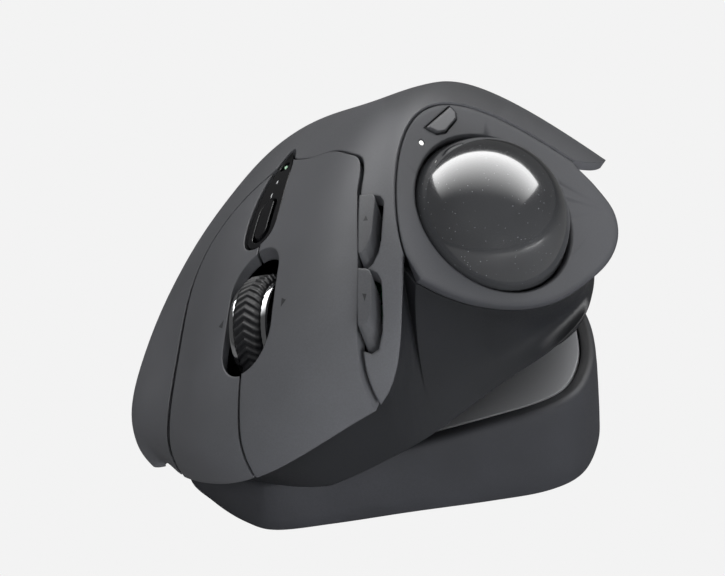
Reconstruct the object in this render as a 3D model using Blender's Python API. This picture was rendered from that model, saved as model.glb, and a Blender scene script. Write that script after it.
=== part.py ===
"""Thumb trackball mouse on a tilting base.

A right-hand mouse that stays still on the desk while the thumb rolls a 34 mm ball.
The body rocks on a hinge along its underside: flat for typing hands, or rolled 20
degrees, as built here, with the ball side up. The base is a rubber wedge with a steel
plate let into its top.

Lengths are millimetres and are turned into metres when a mesh is made. The body is
drawn as it stands when flat (x to the little finger, y to the fingertips, z up) and
rolled into place about the hinge afterwards. The base is drawn in place.
"""
import math
import bpy
import bmesh
import numpy as np
from mathutils import Vector
from mathutils.geometry import delaunay_2d_cdt

MM = 0.001
GAP = 0.3                      # air between neighbouring pieces
SHELL = 2.0                    # wall of the covers and buttons
WALL = 1.8                     # wall of the lower housing

# --- driving sizes -------------------------------------------------------------------
TILT = math.radians(20)        # roll of the body on its hinge
WEDGE = 0.2                    # slope of the base plate across the base
HINGE_Z = 16.05                # hinge pin above the desk
HINGE_X = 0.5
FACET = 2.3                    # both underside facets pass this far below the pin
BALL_R = 17.0
BALL = np.array([-34.8, -2.0, 38.1])
BALL_AXIS = np.array([-0.775, 0.261, 0.576])
BALL_AXIS = BALL_AXIS / np.linalg.norm(BALL_AXIS)
PANEL_UP = 5.0                 # panel face above the ball centre
HOLE_R = 16.95
WHEEL = np.array([7.2, 18.1, 31.2])
WHEEL_R = 11.8
SPLIT_X = 7.8                  # slit between the two main buttons

for old in list(bpy.data.objects):
    bpy.data.objects.remove(old, do_unlink=True)


# --- frames --------------------------------------------------------------------------
ROLL_X, ROLL_Z = 30.0, 8.0     # the body's own frame is rolled about this line

def roll(points):
    """Body frame to desk frame: rolled 20 degrees with the ball side up."""
    p = np.atleast_2d(np.asarray(points, float)) - (ROLL_X, 0, ROLL_Z)
    c, s = math.cos(TILT), math.sin(TILT)
    return np.stack([p[:, 0] * c + p[:, 2] * s, p[:, 1], p[:, 2] * c - p[:, 0] * s], 1) + (ROLL_X, 0, ROLL_Z)

def unroll(points):
    """Desk frame to body frame."""
    p = np.atleast_2d(np.asarray(points, float)) - (ROLL_X, 0, ROLL_Z)
    c, s = math.cos(TILT), math.sin(TILT)
    return np.stack([p[:, 0] * c - p[:, 2] * s, p[:, 1], p[:, 2] * c + p[:, 0] * s], 1) + (ROLL_X, 0, ROLL_Z)

HINGE = unroll((HINGE_X, 0, HINGE_Z))[0]          # pin axis in the body frame, along y
PANEL_X = np.cross((0, 0, 1), BALL_AXIS)
PANEL_X = PANEL_X / np.linalg.norm(PANEL_X)
PANEL_Y = np.cross(BALL_AXIS, PANEL_X)

def on_panel(p, q, up=0.0):
    """A point of the ball panel: p to the rear, q up the panel, from the ball's axis."""
    return BALL + BALL_AXIS * (PANEL_UP + up) + PANEL_X * p + PANEL_Y * q

def floor_z(x):
    """Underside of the body: two facets with a rounded ridge between them."""
    ridge = HINGE[2] - FACET / math.cos(math.atan(WEDGE))
    return ridge + WEDGE * abs(x - HINGE[0]) * (1.0 if x < HINGE[0] else 0.765)


# --- materials and mesh helpers --------------------------------------------------------
def material(name, colour, rough, metal=0.0):
    m = bpy.data.materials.new(name)
    m.use_nodes = True
    b = m.node_tree.nodes["Principled BSDF"]
    b.inputs["Base Color"].default_value = (*colour, 1)
    b.inputs["Roughness"].default_value = rough
    b.inputs["Metallic"].default_value = metal
    m.diffuse_color = (*colour, 1)
    return m

GRAPHITE = (0.095, 0.098, 0.105)
DARK = (0.018, 0.019, 0.021)
BLACK = (0.008, 0.008, 0.009)
STEEL = (0.42, 0.42, 0.43)
BRIGHT = (0.72, 0.72, 0.73)
BOARD = (0.02, 0.10, 0.05)

def add(name, verts, faces, colour, rough=0.6, metal=0.0, body=True):
    """One closed piece from millimetre points; body pieces are rolled into place."""
    pts = roll(verts) if body else np.asarray(verts, float)
    mesh = bpy.data.meshes.new(name)
    mesh.from_pydata([tuple(p * MM) for p in pts], [], [tuple(int(i) for i in f) for f in faces])
    bm = bmesh.new()
    bm.from_mesh(mesh)
    bmesh.ops.remove_doubles(bm, verts=bm.verts, dist=1e-6)
    bmesh.ops.recalc_face_normals(bm, faces=bm.faces)
    bmesh.ops.triangulate(bm, faces=[f for f in bm.faces if len(f.verts) == 4])
    bm.to_mesh(mesh)
    bm.free()
    ob = bpy.data.objects.new(name, mesh)
    bpy.context.scene.collection.objects.link(ob)
    mesh.materials.append(material(name + "_finish", colour, rough, metal))
    return ob

def helper(name, verts, faces, body=True):
    """A cutting tool: kept out of the render, removed once used."""
    ob = add(name, verts, faces, BLACK, body=body)
    ob.hide_render = True
    ob.display_type = "WIRE"
    return ob

def boolean(ob, tools, operation="DIFFERENCE"):
    """Cut with each tool in turn, then remove the tools."""
    for tool in tools:
        mod = ob.modifiers.new("cut", "BOOLEAN")
        mod.operation, mod.solver, mod.object = operation, "EXACT", tool
        dg = bpy.context.evaluated_depsgraph_get()
        mesh = bpy.data.meshes.new_from_object(ob.evaluated_get(dg))
        ob.modifiers.clear()
        old, ob.data = ob.data, mesh
        bpy.data.meshes.remove(old)
        mesh.name = ob.name
    for tool in tools:
        bpy.data.objects.remove(tool, do_unlink=True)
    return ob

def rings(loops, cap=True, closed=True):
    """Faces between stacked loops of equal length, with flat caps."""
    loops = [np.asarray(l, float) for l in loops]
    n = len(loops[0])
    verts = np.concatenate(loops)
    faces = []
    for k in range(len(loops) - 1):
        for i in range(n if closed else n - 1):
            j = (i + 1) % n
            faces.append((k * n + i, k * n + j, (k + 1) * n + j, (k + 1) * n + i))
    if cap:
        faces.append(tuple(range(n))[::-1])
        faces.append(tuple(range((len(loops) - 1) * n, len(loops) * n)))
    return verts, faces

def prism(outline, z0, z1):
    """Upright prism over a plan outline."""
    o = np.asarray(outline, float)
    return rings([np.c_[o, np.full(len(o), z)] for z in (z0, z1)])

def block(centre, size):
    x, y, z = np.asarray(size, float) / 2
    cx, cy, cz = centre
    return prism([(cx - x, cy - y), (cx + x, cy - y), (cx + x, cy + y), (cx - x, cy + y)], cz - z, cz + z)

def frame_of(axis):
    """Two unit directions square to an axis."""
    a = np.asarray(axis, float) / np.linalg.norm(axis)
    side = np.array([0, 0, 1.0]) if abs(a[2]) < 0.9 else np.array([1.0, 0, 0])
    u = np.cross(side, a)
    u = u / np.linalg.norm(u)
    return a, u, np.cross(a, u)

def lathe(profile, centre, axis, n=24):
    """Turned piece: profile of (along, radius); a radius of 0 closes an end."""
    a, u, v = frame_of(axis)
    verts, faces, rows = [], [], []
    for along, r in profile:
        at = np.asarray(centre, float) + a * along
        if r < 1e-6:
            rows.append([len(verts)])
            verts.append(at)
        else:
            rows.append(list(range(len(verts), len(verts) + n)))
            verts += [at + r * (math.cos(t) * u + math.sin(t) * v)
                      for t in np.linspace(0, 2 * math.pi, n, endpoint=False)]
    closed = len(profile) > 2 and profile[0][1] > 0 and profile[-1][1] > 0
    pairs = list(zip(rows, rows[1:])) + ([(rows[-1], rows[0])] if closed else [])
    for lo, hi in pairs:
        for i in range(n):
            j = (i + 1) % n
            if len(lo) == 1:
                faces.append((lo[0], hi[j], hi[i]))
            elif len(hi) == 1:
                faces.append((lo[i], lo[j], hi[0]))
            else:
                faces.append((lo[i], lo[j], hi[j], hi[i]))
    return np.array(verts), faces

def rod(centre, axis, length, radius, n=20):
    h = length / 2
    return lathe([(-h, 0), (-h, radius), (h, radius), (h, 0)], centre, axis, n)

def curve(points, step=2, closed=False):
    """Smooth (Catmull-Rom) curve through chosen points."""
    p = [np.asarray(q, float) for q in points]
    n = len(p)
    out = []
    for i in range(n if closed else n - 1):
        a, b = p[i], p[(i + 1) % n]
        before = p[(i - 1) % n] if closed or i > 0 else 2 * a - b
        after = p[(i + 2) % n] if closed or i + 2 < n else 2 * b - a
        for k in range(step):
            t = k / step
            out.append(0.5 * (2 * a + (b - before) * t + (2 * before - 5 * a + 4 * b - after) * t * t
                              + (3 * a - before - 3 * b + after) * t ** 3))
    if not closed:
        out.append(p[-1])
    return np.array(out)

def inset(outline, d):
    """Closed plan outline moved inwards by d (outwards if d is negative)."""
    o = np.asarray(outline, float)
    e = np.roll(o, -1, 0) - o
    e = e / np.linalg.norm(e, axis=1)[:, None]
    area = np.sum(o[:, 0] * np.roll(o[:, 1], -1) - np.roll(o[:, 0], -1) * o[:, 1])
    nrm = np.c_[-e[:, 1], e[:, 0]] * (1 if area > 0 else -1)
    prev = np.roll(nrm, 1, 0)
    m = nrm + prev
    m = m / np.maximum(np.sum(m * m, 1)[:, None] / 2, 0.5)
    return o + m * d


# --- upper surface -------------------------------------------------------------------
FRONT_LEFT, FRONT_RIGHT, REAR = 0.0106, 0.0215, 0.011   # sweep of the two ends in plan

# One row per station from the front lip to the tail: y, share of the front sweep, share of
# the rear sweep, spine height, rise from the spine to the ridge, fall from the spine to the
# outer button edge, little-finger belt x and z, foot line x, thumb edge x and z.
STATIONS = [
    (43.4, 1.00, 0.00, 13.4, 8.0, 2.6, 35.6, 10.6, 37.0, -24, 20.0),
    (44.8, 1.00, 0.00, 19.4, 9.0, 3.2, 40.2, 14.0, 39.8, -30, 26.0),
    (41.6, 1.00, 0.00, 24.4, 11.0, 3.4, 43.6, 16.0, 41.2, -34, 42.0),
    (34.0, 0.95, 0.00, 30.6, 12.5, 5.0, 46.0, 17.2, 42.4, -37, 52.0),
    (24.0, 0.85, 0.00, 37.2, 13.0, 6.4, 47.0, 18.0, 42.4, -40, 58.0),
    (11.0, 0.60, 0.00, 44.4, 12.2, 6.8, 46.4, 18.8, 41.4, -42, 56.0),
    (-3.0, 0.30, 0.00, 49.8, 11.0, 7.8, 45.2, 19.0, 40.4, -44, 51.0),
    (-18.0, 0.00, 0.00, 53.0, 8.4, 8.8, 44.0, 19.4, 39.6, -46.5, 42.5),
    (-33.0, 0.00, 0.10, 53.4, 3.8, 9.6, 42.6, 18.8, 38.8, -51.0, 33.2),
    (-48.0, 0.00, 0.30, 48.2, -0.6, 9.8, 40.2, 17.6, 37.4, -49.5, 30.0),
    (-62.0, 0.00, 0.60, 37.6, 0.0, 9.0, 37.2, 15.8, 35.0, -46.5, 26.0),
    (-74.0, 0.00, 0.85, 25.8, 1.2, 6.8, 34.4, 15.4, 31.6, -42.0, 22.0),
    (-82.0, 0.00, 1.00, 16.0, 0.8, 3.6, 30.2, 11.8, 29.6, -36.5, 18.0),
    (-84.4, 0.00, 1.00, 11.0, 0.8, 0.8, 27.0, 9.8, 28.4, -33.5, 16.0),
]

def surface_net():
    """Control points of the upper surface: stations by rails from thumb edge to foot line."""
    net = []
    for y, front, rear, z, rise, fall, bx, bz, fx, wx, wz in STATIONS:
        ridge, side, fz = z + rise, z - fall, floor_z(fx) + 0.5
        swell = 2.5 * min(1, (side - bz) / 6)
        rails = [(wx, wz), ((wx - 27) / 2 - 1, (wz + ridge) / 2 + 1.5 - 7 * rear * (1 - rear)),
                 (-27.5, ridge + 0.2 + 5.0 * front), (-22, ridge + 0.6), (-15, z + rise * 0.97),
                 (-6, z + rise * 0.62), (3, z + rise * 0.25), (12, z - fall * 0.06),
                 (21, z - fall * 0.42), (30, z - fall * 1.1), (bx - 2, (side + bz) / 2 + swell),
                 (bx, bz), ((bx + fx) / 2 + 0.6, (bz + fz) / 2), (fx, fz)]
        net.append([(x, y - front * (FRONT_LEFT if x < 10 else FRONT_RIGHT) * (min(x, 36) - 10) ** 2
                     + rear * REAR * (x - 3) ** 2, h) for x, h in rails])
    return np.array(net)

NET = surface_net()

def spline_basis(t, n, p=3):
    """Clamped cubic B-spline weights."""
    knots = np.concatenate([np.zeros(p), np.linspace(0, 1, n - p + 1), np.ones(p)])
    t = np.clip(np.atleast_1d(np.asarray(t, float)), 0, 1 - 1e-12)
    w = ((t[:, None] >= knots[None, :-1]) & (t[:, None] < knots[None, 1:])).astype(float)
    for k in range(1, p + 1):
        left = np.maximum(knots[k:-1] - knots[:-k - 1], 1e-12)
        right = np.maximum(knots[k + 1:] - knots[1:-k], 1e-12)
        w = ((t[:, None] - knots[None, :-k - 1]) / left * w[:, :-1] * (knots[k:-1] > knots[:-k - 1])
             + (knots[None, k + 1:] - t[:, None]) / right * w[:, 1:] * (knots[k + 1:] > knots[1:-k]))
    return w

def upper(u, v):
    """Points of the upper surface for equal-length u (front to tail) and v (thumb to foot)."""
    return np.einsum("ni,nj,ijk->nk", spline_basis(u, NET.shape[0]), spline_basis(v, NET.shape[1]), NET)

def past_edge(p):
    """Above zero where the upper surface is cut away for the ball panel and front corner."""
    plane = (p - on_panel(0, 0)) @ BALL_AXIS
    t = np.clip((p[:, 2] - 21.0) / 24.7, 0, 1)
    bow = -17.0 - 10.5 * (t * (2 - t)) ** 0.62
    edge = bow - np.clip(21 - p[:, 1], 0, 40) * 2.5
    return np.maximum(plane, edge - p[:, 0])

def thumb_edge(u):
    """v of the surface's thumb-side edge at each u: the ridge border, then the rear wing."""
    u = np.atleast_1d(np.asarray(u, float))
    lo, hi = np.zeros(len(u)), np.full(len(u), 0.62)
    whole = past_edge(upper(u, lo)) < 0
    for _ in range(34):
        mid = (lo + hi) / 2
        out = past_edge(upper(u, mid)) > 0
        lo, hi = np.where(out, mid, lo), np.where(out, hi, mid)
    return np.where(whole, 0.0, hi)

def trimmed(u, t, depth=0.0):
    """Upper surface with t from 0 at the thumb-side edge to 1 at the foot line, moved in by depth."""
    u, t = np.atleast_1d(u).astype(float), np.atleast_1d(t).astype(float)
    edge = thumb_edge(u)
    v = edge + (1 - edge) * t
    p = upper(u, v)
    if depth:
        thin = 1 - 0.5 * np.clip((t - 0.85) / 0.15, 0, 1)          # walls thin towards the foot line
        p = p - surface_normal(u, v) * (depth * thin)[:, None]
    return p

def surface_normal(u, v, h=2e-3):
    u, v = np.atleast_1d(u).astype(float), np.atleast_1d(v).astype(float)
    du = upper(np.clip(u + h, 0, 1), v) - upper(np.clip(u - h, 0, 1), v)
    dv = upper(u, np.clip(v + h, 0, 1)) - upper(u, np.clip(v - h, 0, 1))
    n = np.cross(du, dv)
    return n / np.maximum(np.linalg.norm(n, axis=1)[:, None], 1e-9)

def locate(x, y):
    """Point of the upper surface over a plan point, and its outward normal."""
    u, v = (g.ravel() for g in np.meshgrid(np.linspace(0, 1, 60), np.linspace(0.05, 0.95, 60), indexing="ij"))
    d = np.hypot(*(upper(u, v)[:, :2] - (x, y)).T)
    at = np.array([u[d.argmin()], v[d.argmin()]])
    for _ in range(6):
        here = upper(*at[:, None])[0]
        du = (upper([at[0] + 1e-3], [at[1]])[0] - here) / 1e-3
        dv = (upper([at[0]], [at[1] + 1e-3])[0] - here) / 1e-3
        at = at + np.linalg.solve(np.array([du[:2], dv[:2]]).T, np.array([x, y]) - here[:2])
    return upper(*at[:, None])[0], surface_normal(*at[:, None])[0]

def surface_slab(nu=25, nt=25, outer=0.0, inner=SHELL):
    """Closed slab following the upper surface."""
    us, ts = np.linspace(0, 1, nu), np.linspace(0, 1, nt)
    ug, tg = np.meshgrid(us, ts, indexing="ij")
    top = trimmed(ug.ravel(), tg.ravel(), outer)
    bot = trimmed(ug.ravel(), tg.ravel(), inner)
    n = nu * nt
    faces = []
    for i in range(nu - 1):
        for j in range(nt - 1):
            a, b, c, d = i * nt + j, i * nt + j + 1, (i + 1) * nt + j + 1, (i + 1) * nt + j
            faces += [(a, b, c, d), (a + n, d + n, c + n, b + n)]
    rim = ([i * nt for i in range(nu)] + [(nu - 1) * nt + j for j in range(1, nt)]
           + [i * nt + nt - 1 for i in range(nu - 2, -1, -1)] + [j for j in range(nt - 2, 0, -1)])
    for k in range(len(rim)):
        a, b = rim[k], rim[(k + 1) % len(rim)]
        faces.append((a, b, b + n, a + n))
    return np.concatenate([top, bot]), faces


# --- plan outlines of the pieces let into the upper surface -----------------------------
def slot_outline(cx, cy, half_w, half_l, n=6):
    """Round-ended slot, long way front to back."""
    out = []
    for k in range(2 * n + 1):
        a = math.pi * k / (2 * n)
        out.append((cx + half_w * math.cos(a), cy + half_l - half_w + half_w * math.sin(a)))
    for k in range(2 * n + 1):
        a = math.pi + math.pi * k / (2 * n)
        out.append((cx + half_w * math.cos(a), cy - half_l + half_w + half_w * math.sin(a)))
    return np.array(out)

WHEEL_SLOT = slot_outline(7.2, 22.2, 6.1, 11.2)
STRIP = curve([(8.6, 8.6), (5.6, 7.4), (4.6, 3.5), (5.0, -4), (6.0, -12), (8.6, -19),
               (11.4, -12), (12.8, -4), (13.0, 3.5), (11.8, 7.2)], 3, closed=True)
PILL = slot_outline(8.9, 1.6, 1.9, 5.0, 3)
LEFT_BACK = curve([(5.2, -13), (0, -9.6), (-7, -6.2), (-13, -1.4), (-16.2, 1.2), (-17.4, 4.4), (-17.6, 9)], 2)
RIGHT_BACK = curve([(12.4, -12.5), (18, -9), (24.2, -3.6), (27.4, 1.4), (28.9, 8), (29.2, 16)], 2)
LEFT_SIDE = curve([(-17.6, 9), (-18.5, 15), (-19.2, 22), (-19.2, 29), (-18.2, 37), (-15.6, 46)], 2)
SIDE_KEY_FRONT = [(-19.1, 23.6), (-21.2, 23.6), (-22.6, 25.2), (-22.5, 28.8), (-21.2, 31.4), (-19.0, 32.2)]
SIDE_KEY_REAR = [(-18.2, 11.0), (-20.9, 11.0), (-22.4, 12.6), (-22.3, 18.6), (-21.0, 21.2), (-19.1, 22.0)]

def left_outline():
    """Left main button: slit on one side, side keys on the other."""
    return np.concatenate([[(SPLIT_X, 60), (SPLIT_X, -16.0)], LEFT_BACK, LEFT_SIDE[1:], [(-15.6, 60)]])

def right_outline():
    return np.concatenate([[(SPLIT_X, -16.0), (SPLIT_X, 60), (29.2, 60)], RIGHT_BACK[::-1]])

def upright(name, outline, grow):
    """Cutting prism over a plan outline, through the whole upper surface."""
    return helper(name, *prism(inset(outline, -grow), 2, 90))

def cut_from_surface(name, outline, holes, colour, rough, nu=25, nt=25, outer=0.0, inner=SHELL):
    """A piece of the upper surface inside a plan outline, less its holes, with half gaps."""
    ob = add(name, *surface_slab(nu, nt, outer, inner), colour, rough)
    boolean(ob, [upright("tool", outline, -GAP / 2)], "INTERSECT")
    boolean(ob, [upright("tool", h, GAP / 2) for h in holes])
    return ob


# --- covers and buttons ----------------------------------------------------------------
def top_cover():
    """Palm rest, ridge and little-finger side in one shell, open at the front for the buttons."""
    ob = add("top_cover", *surface_slab(33, 29), GRAPHITE, 0.62)
    boolean(ob, [upright("tool", o, GAP / 2) for o in
                 (left_outline(), right_outline(), STRIP, SIDE_KEY_FRONT, SIDE_KEY_REAR)])

def main_buttons():
    cut_from_surface("left_button", left_outline(), [WHEEL_SLOT, STRIP], GRAPHITE, 0.62, 27, 25, -0.4)
    cut_from_surface("right_button", right_outline(), [WHEEL_SLOT, STRIP], GRAPHITE, 0.62, 27, 25, -0.4)

def small_keys():
    cut_from_surface("forward_button", SIDE_KEY_FRONT, [], (0.07, 0.072, 0.078), 0.5, 33, 29, -1.6, SHELL)
    cut_from_surface("back_button", SIDE_KEY_REAR, [], (0.07, 0.072, 0.078), 0.5, 33, 29, -1.6, SHELL)
    lamp_hole = slot_outline(8.7, -13.6, 0.9, 1.0, 2)
    cut_from_surface("status_strip", STRIP, [PILL, lamp_hole], (0.010, 0.010, 0.012), 0.12, 33, 29, 0.25, SHELL)
    cut_from_surface("mode_button", PILL, [], BLACK, 0.2, 45, 45, -0.1, SHELL)
    p, n = locate(8.7, -13.6)
    add("status_light", *rod(p - n * 1.1, n, 1.4, 0.4, 8), (0.1, 0.6, 0.2), 0.3)

def switch_on(name, point, normal, depth, size, along):
    """A small switch lying square under a surface, this far below it."""
    n = normal / np.linalg.norm(normal)
    u = along - n * (along @ n)
    u = u / np.linalg.norm(u)
    v = np.cross(n, u)
    a, b = size[0] / 2, size[1] / 2
    loops = [[point - n * d + u * x + v * y for x, y in ((-a, -b), (a, -b), (a, b), (-a, b))]
             for d in (depth, depth + size[2])]
    return add(name, *rings(loops), (0.02, 0.02, 0.022), 0.4)

# plan spot of each switch, then its depth below the surface and its size
SWITCHES = {"left_switch": (-9, 21, 3.4, (5.8, 10.0, 5.0)),
            "right_switch": (22, 19, 3.4, (5.8, 10.0, 5.0)),
            "forward_switch": (-19.4, 27.5, 3.2, (3.0, 4.4, 2.0)),
            "back_switch": (-19.6, 14.5, 3.2, (3.0, 4.4, 2.0)),
            "mode_switch": (8.9, 1.6, 3.4, (3.4, 4.4, 2.0))}

def switches():
    """One switch under each button, on a post for the two main ones."""
    for name, (x, y, depth, size) in SWITCHES.items():
        p, n = locate(x, y)
        switch_on(name, p, n, depth, size, np.array([1.0, 0, 0]))


# --- ball panel, ball and socket -------------------------------------------------------
# The panel's free rim, from the front corner round the low side to the rear, as (p, q).
POD_RIM = [(-24.9, 0.6), (-22.3, -5.0), (-18.3, -10.6), (-12.0, -16.4), (-4.0, -20.6), (5.0, -22.4),
           (13.0, -22.6), (19.2, -20.6), (23.2, -16.4), (24.4, -10.4), (24.4, -5.0)]

def border_range():
    """u where the ridge border meets the panel's front corner and the rear wing."""
    us = np.linspace(0.02, 0.95, 600)
    p = trimmed(us, np.zeros(600))
    on = np.abs((p - on_panel(0, 0)) @ BALL_AXIS) < 0.02
    return us[on][0], us[on][-1]

U_FRONT, U_REAR = border_range()

def border(n):
    """Ridge border from the rear wing forward to the front corner."""
    return np.linspace(U_REAR, U_FRONT, n)

def panel_ring(n_border=16):
    """Panel outline with, at each point, the direction its edge runs down in."""
    us = border(n_border)
    edge = thumb_edge(us)
    pts = upper(us, edge)
    nrm = surface_normal(us, edge)
    ring, down = [], []
    for p, n in zip(pts, nrm):
        centre = on_panel(0, 0)
        inward = centre - p
        inward = inward / np.linalg.norm(inward)
        ring.append(p + inward * GAP * 1.3)
        down.append(-n / max(n @ BALL_AXIS, 0.5))
    low = curve([on_panel(*q) for q in POD_RIM], 2)
    for p in low:
        ring.append(p)
        down.append(-BALL_AXIS)
    return np.array(ring), np.array(down)

def ball_panel():
    """Flat thumb-side panel with the ball's opening."""
    ring, down = panel_ring()
    plane = on_panel(0, 0)
    ring = ring - ((ring - plane) @ BALL_AXIS)[:, None] * BALL_AXIS
    verts, faces = rings([ring, ring + down * 1.6])
    ob = add("ball_panel", verts, faces, (0.055, 0.057, 0.062), 0.55)
    boolean(ob, [helper("tool", *rod(on_panel(0, 0), BALL_AXIS, 12, HOLE_R, 48)),
                 helper("tool", *precision_tool(GAP)),
                 helper("tool", *rod(on_panel(*LAMP), BALL_AXIS, 8, 0.95, 12))])

PRECISION = [(2.4, 21.2), (10.6, 21.2), (10.6, 19.6), (9.6, 18.6), (5.2, 18.1), (3.4, 19.0)]

def precision_tool(grow, up=4.0, down=-6.0):
    o = inset(PRECISION, -grow)
    return rings([[on_panel(p, q, h) for p, q in o] for h in (down, up)])

LAMP = (-1.0, 19.6)

def precision_parts():
    """Pointer-speed key in the panel and the small light that shows it is on."""
    add("precision_button", *precision_tool(0.0, 0.6, -1.8), (0.07, 0.072, 0.078), 0.5)
    add("precision_light", *rod(on_panel(*LAMP, -0.8), BALL_AXIS, 1.8, 0.65, 10), (0.8, 0.8, 0.78), 0.3)
    switch_on("precision_switch", on_panel(6.5, 20.0), BALL_AXIS, 2.4, (4.4, 3.4, 2.0), PANEL_X)

def trackball():
    """Solid resin ball, 34 mm."""
    n = 14
    prof = [(-BALL_R * math.cos(math.pi * k / n), BALL_R * math.sin(math.pi * k / n)) for k in range(n + 1)]
    add("trackball", *lathe(prof, BALL, BALL_AXIS, 28), (0.05, 0.052, 0.056), 0.18)

def ball_socket():
    """Cup round the lower half of the ball, with a sensor window and an eject hole."""
    prof = [(1.6, 17.35)] + [(-17.4 * math.sin(math.radians(a)), 17.4 * math.cos(math.radians(a)))
                             for a in (6, 18, 30, 42, 54, 66, 76)]
    outer = [(-r * math.sin(math.radians(a)), r * math.cos(math.radians(a)))
             for a, r in ((77, 20.2), (66, 20.2), (54, 20.2), (42, 20.0), (30, 19.4), (18, 18.7), (6, 18.5))]
    verts, faces = lathe(prof + outer + [(1.6, 18.45)], BALL, BALL_AXIS, 30)
    ob = add("ball_socket", verts, faces, DARK, 0.5)
    tools = [helper("tool", *ball_of(bearing_centre(k), 1.5)) for k in range(3)]
    s = sensor_axis()
    tools.append(helper("tool", *rod(BALL + s * 19, s, 8, 2.6, 16)))
    tools.append(helper("tool", *rod(EJECT + (0, 0, 12), (0, 0, 1), 16, 4.6, 20)))
    boolean(ob, tools)

EJECT = np.array([-30.0, -5.0, 10.0])

def bearing_dir(k):
    """Three rests, evenly spaced round the ball below its middle."""
    t = 2 * math.pi * (k / 3) + 0.3
    d = -BALL_AXIS * 0.55 + (PANEL_X * math.cos(t) + PANEL_Y * math.sin(t)) * 0.835
    return d / np.linalg.norm(d)

def bearing_centre(k):
    return BALL + bearing_dir(k) * (BALL_R + 0.05 + 1.2)

def sensor_axis():
    d = -BALL_AXIS * 0.94 + PANEL_X * 0.34
    return d / np.linalg.norm(d)

def ball_of(centre, r, n=6, m=10):
    prof = [(-r * math.cos(math.pi * k / n), r * math.sin(math.pi * k / n)) for k in range(n + 1)]
    return lathe(prof, centre, (0, 0, 1), m)

def ball_bearings():
    for k in range(3):
        add("bearing_ball_%d" % (k + 1), *ball_of(bearing_centre(k), 1.15), BRIGHT, 0.15, 1.0)

def ball_sensor():
    s = sensor_axis()
    add("sensor_lens", *rod(BALL + s * 19.4, s, 2.6, 2.2, 16), (0.10, 0.02, 0.02), 0.1)
    a, u, v = frame_of(s)
    c = BALL + s * 22.4
    half = [(-6, -4.5), (6, -4.5), (6, 4.5), (-6, 4.5)]
    loops = [[c + u * x + v * y + a * h for x, y in half] for h in (-0.8, 0.8)]
    add("sensor_board", *rings(loops), BOARD, 0.5)


# --- lower housing -------------------------------------------------------------------
# Underside outline in plan, from the front middle round the thumb side to the tail.
FOOT = [(8, 33), (-4, 31.5), (-14, 28), (-22, 23.5), (-33, 12.5), (-43, 4.5), (-47.4, -4), (-47.2, -14),
        (-44.6, -26), (-39.5, -42), (-31, -58), (-19, -71), (-4, -78.5), (12, -77), (23.4, -69.5), (30.4, -58),
        (34.6, -46), (37, -28), (38.4, -8), (38.2, 8), (34.5, 20), (23, 29.5)]

def rim_and_foot():
    """Upper rim of the housing paired with underside points, and how far each wall hollows."""
    foot = curve(FOOT, 8, closed=True)
    def foot_run(a, b, n):
        i = np.linspace(a * 8, b * 8, n, endpoint=False)
        return [foot[int(round(k)) % len(foot)] for k in i]
    under = SHELL + GAP + 0.5
    rim, base, hollow = [], [], []
    t = np.linspace(0.5, 0.02, 6, endpoint=False)                          # front, under the lip
    rim += list(trimmed(np.full(6, 0.035), t, under)); base += foot_run(0, 2.1, 6); hollow += [0.0] * 6
    us = np.linspace(0.03, U_FRONT, 6, endpoint=False)                     # front corner, up the ridge
    rim += list(trimmed(us, np.full(6, 0.012), under)); base += foot_run(2.1, 3.0, 6); hollow += [0.05] * 6
    low = curve([on_panel(*q) for q in POD_RIM], 2) - BALL_AXIS * (1.6 + GAP)
    n = len(low)
    rim += list(low); base += foot_run(3.0, 8.0, n)
    hollow += [min(1.0, 0.35 + 0.13 * k) for k in range(n)]
    us = np.linspace(U_REAR, 0.99, 12)                                       # rear wing to the tail
    sunk = np.linspace(0, 1, 12) ** 2
    rim += list(trimmed(us, 0.025 + 0.04 * sunk, under) - np.outer(sunk, (0, 0, 1.6)))
    base += foot_run(8.1, 12.4, 12)
    hollow += [0.8, 0.6, 0.45, 0.3, 0.2, 0.1, 0.1, 0.05, 0.0, 0.0, 0.0, 0.0]
    t = np.linspace(0.16, 0.9, 6)                                          # across the tail
    rim += list(trimmed(np.full(6, 0.97), t, under) - (0, 0, 0.8)); base += foot_run(12.6, 15.0, 6); hollow += [0.0] * 6
    us = np.linspace(0.93, 0.06, 12)                                       # little-finger side
    rim += list(trimmed(us, np.full(12, 0.92), under + 0.3)); base += foot_run(15.0, 20.4, 12); hollow += [0.0] * 12
    t = np.linspace(0.86, 0.58, 4)                                         # back to the front middle
    rim += list(trimmed(np.full(4, 0.035), t, under)); base += foot_run(20.6, 22.0, 4); hollow += [0.0] * 4
    return np.array(rim), np.array(base), np.array(hollow)

def housing_sheet():
    """Outside of the lower housing: walls from rim to underside, and the two-facet floor."""
    rim, base, hollow = rim_and_foot()
    foot = np.c_[base, [floor_z(x) for x in base[:, 0]]]
    mid = (rim + foot) / 2
    pull = rim - BALL_AXIS * 13
    ctrl = mid + (pull - mid) * hollow[:, None]
    loops = []
    for s in (0, 0.2, 0.45, 0.75, 1.0):
        loops.append((1 - s) ** 2 * rim + 2 * s * (1 - s) * ctrl + s * s * foot)
    verts, faces = rings(loops, cap=False)
    n = len(rim)
    ring2d = [Vector(p) for p in base]
    extra = [Vector((HINGE[0] + dx, y)) for dx in (-0.5, 0.5) for y in np.linspace(-74, 34, 7)]
    edges = [(i, (i + 1) % n) for i in range(n)]
    edges += [(n + k, n + k + 1) for k in range(6)] + [(n + 7 + k, n + 8 + k) for k in range(6)]
    v2, _, f2, ov, _, _ = delaunay_2d_cdt(ring2d + extra, edges, [], 1, 1e-5)
    start = len(verts)
    verts = np.concatenate([verts, [(p.x, p.y, floor_z(p.x)) for p in v2]])
    faces += [tuple(start + i for i in f) for f in f2]
    return verts, faces

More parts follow.
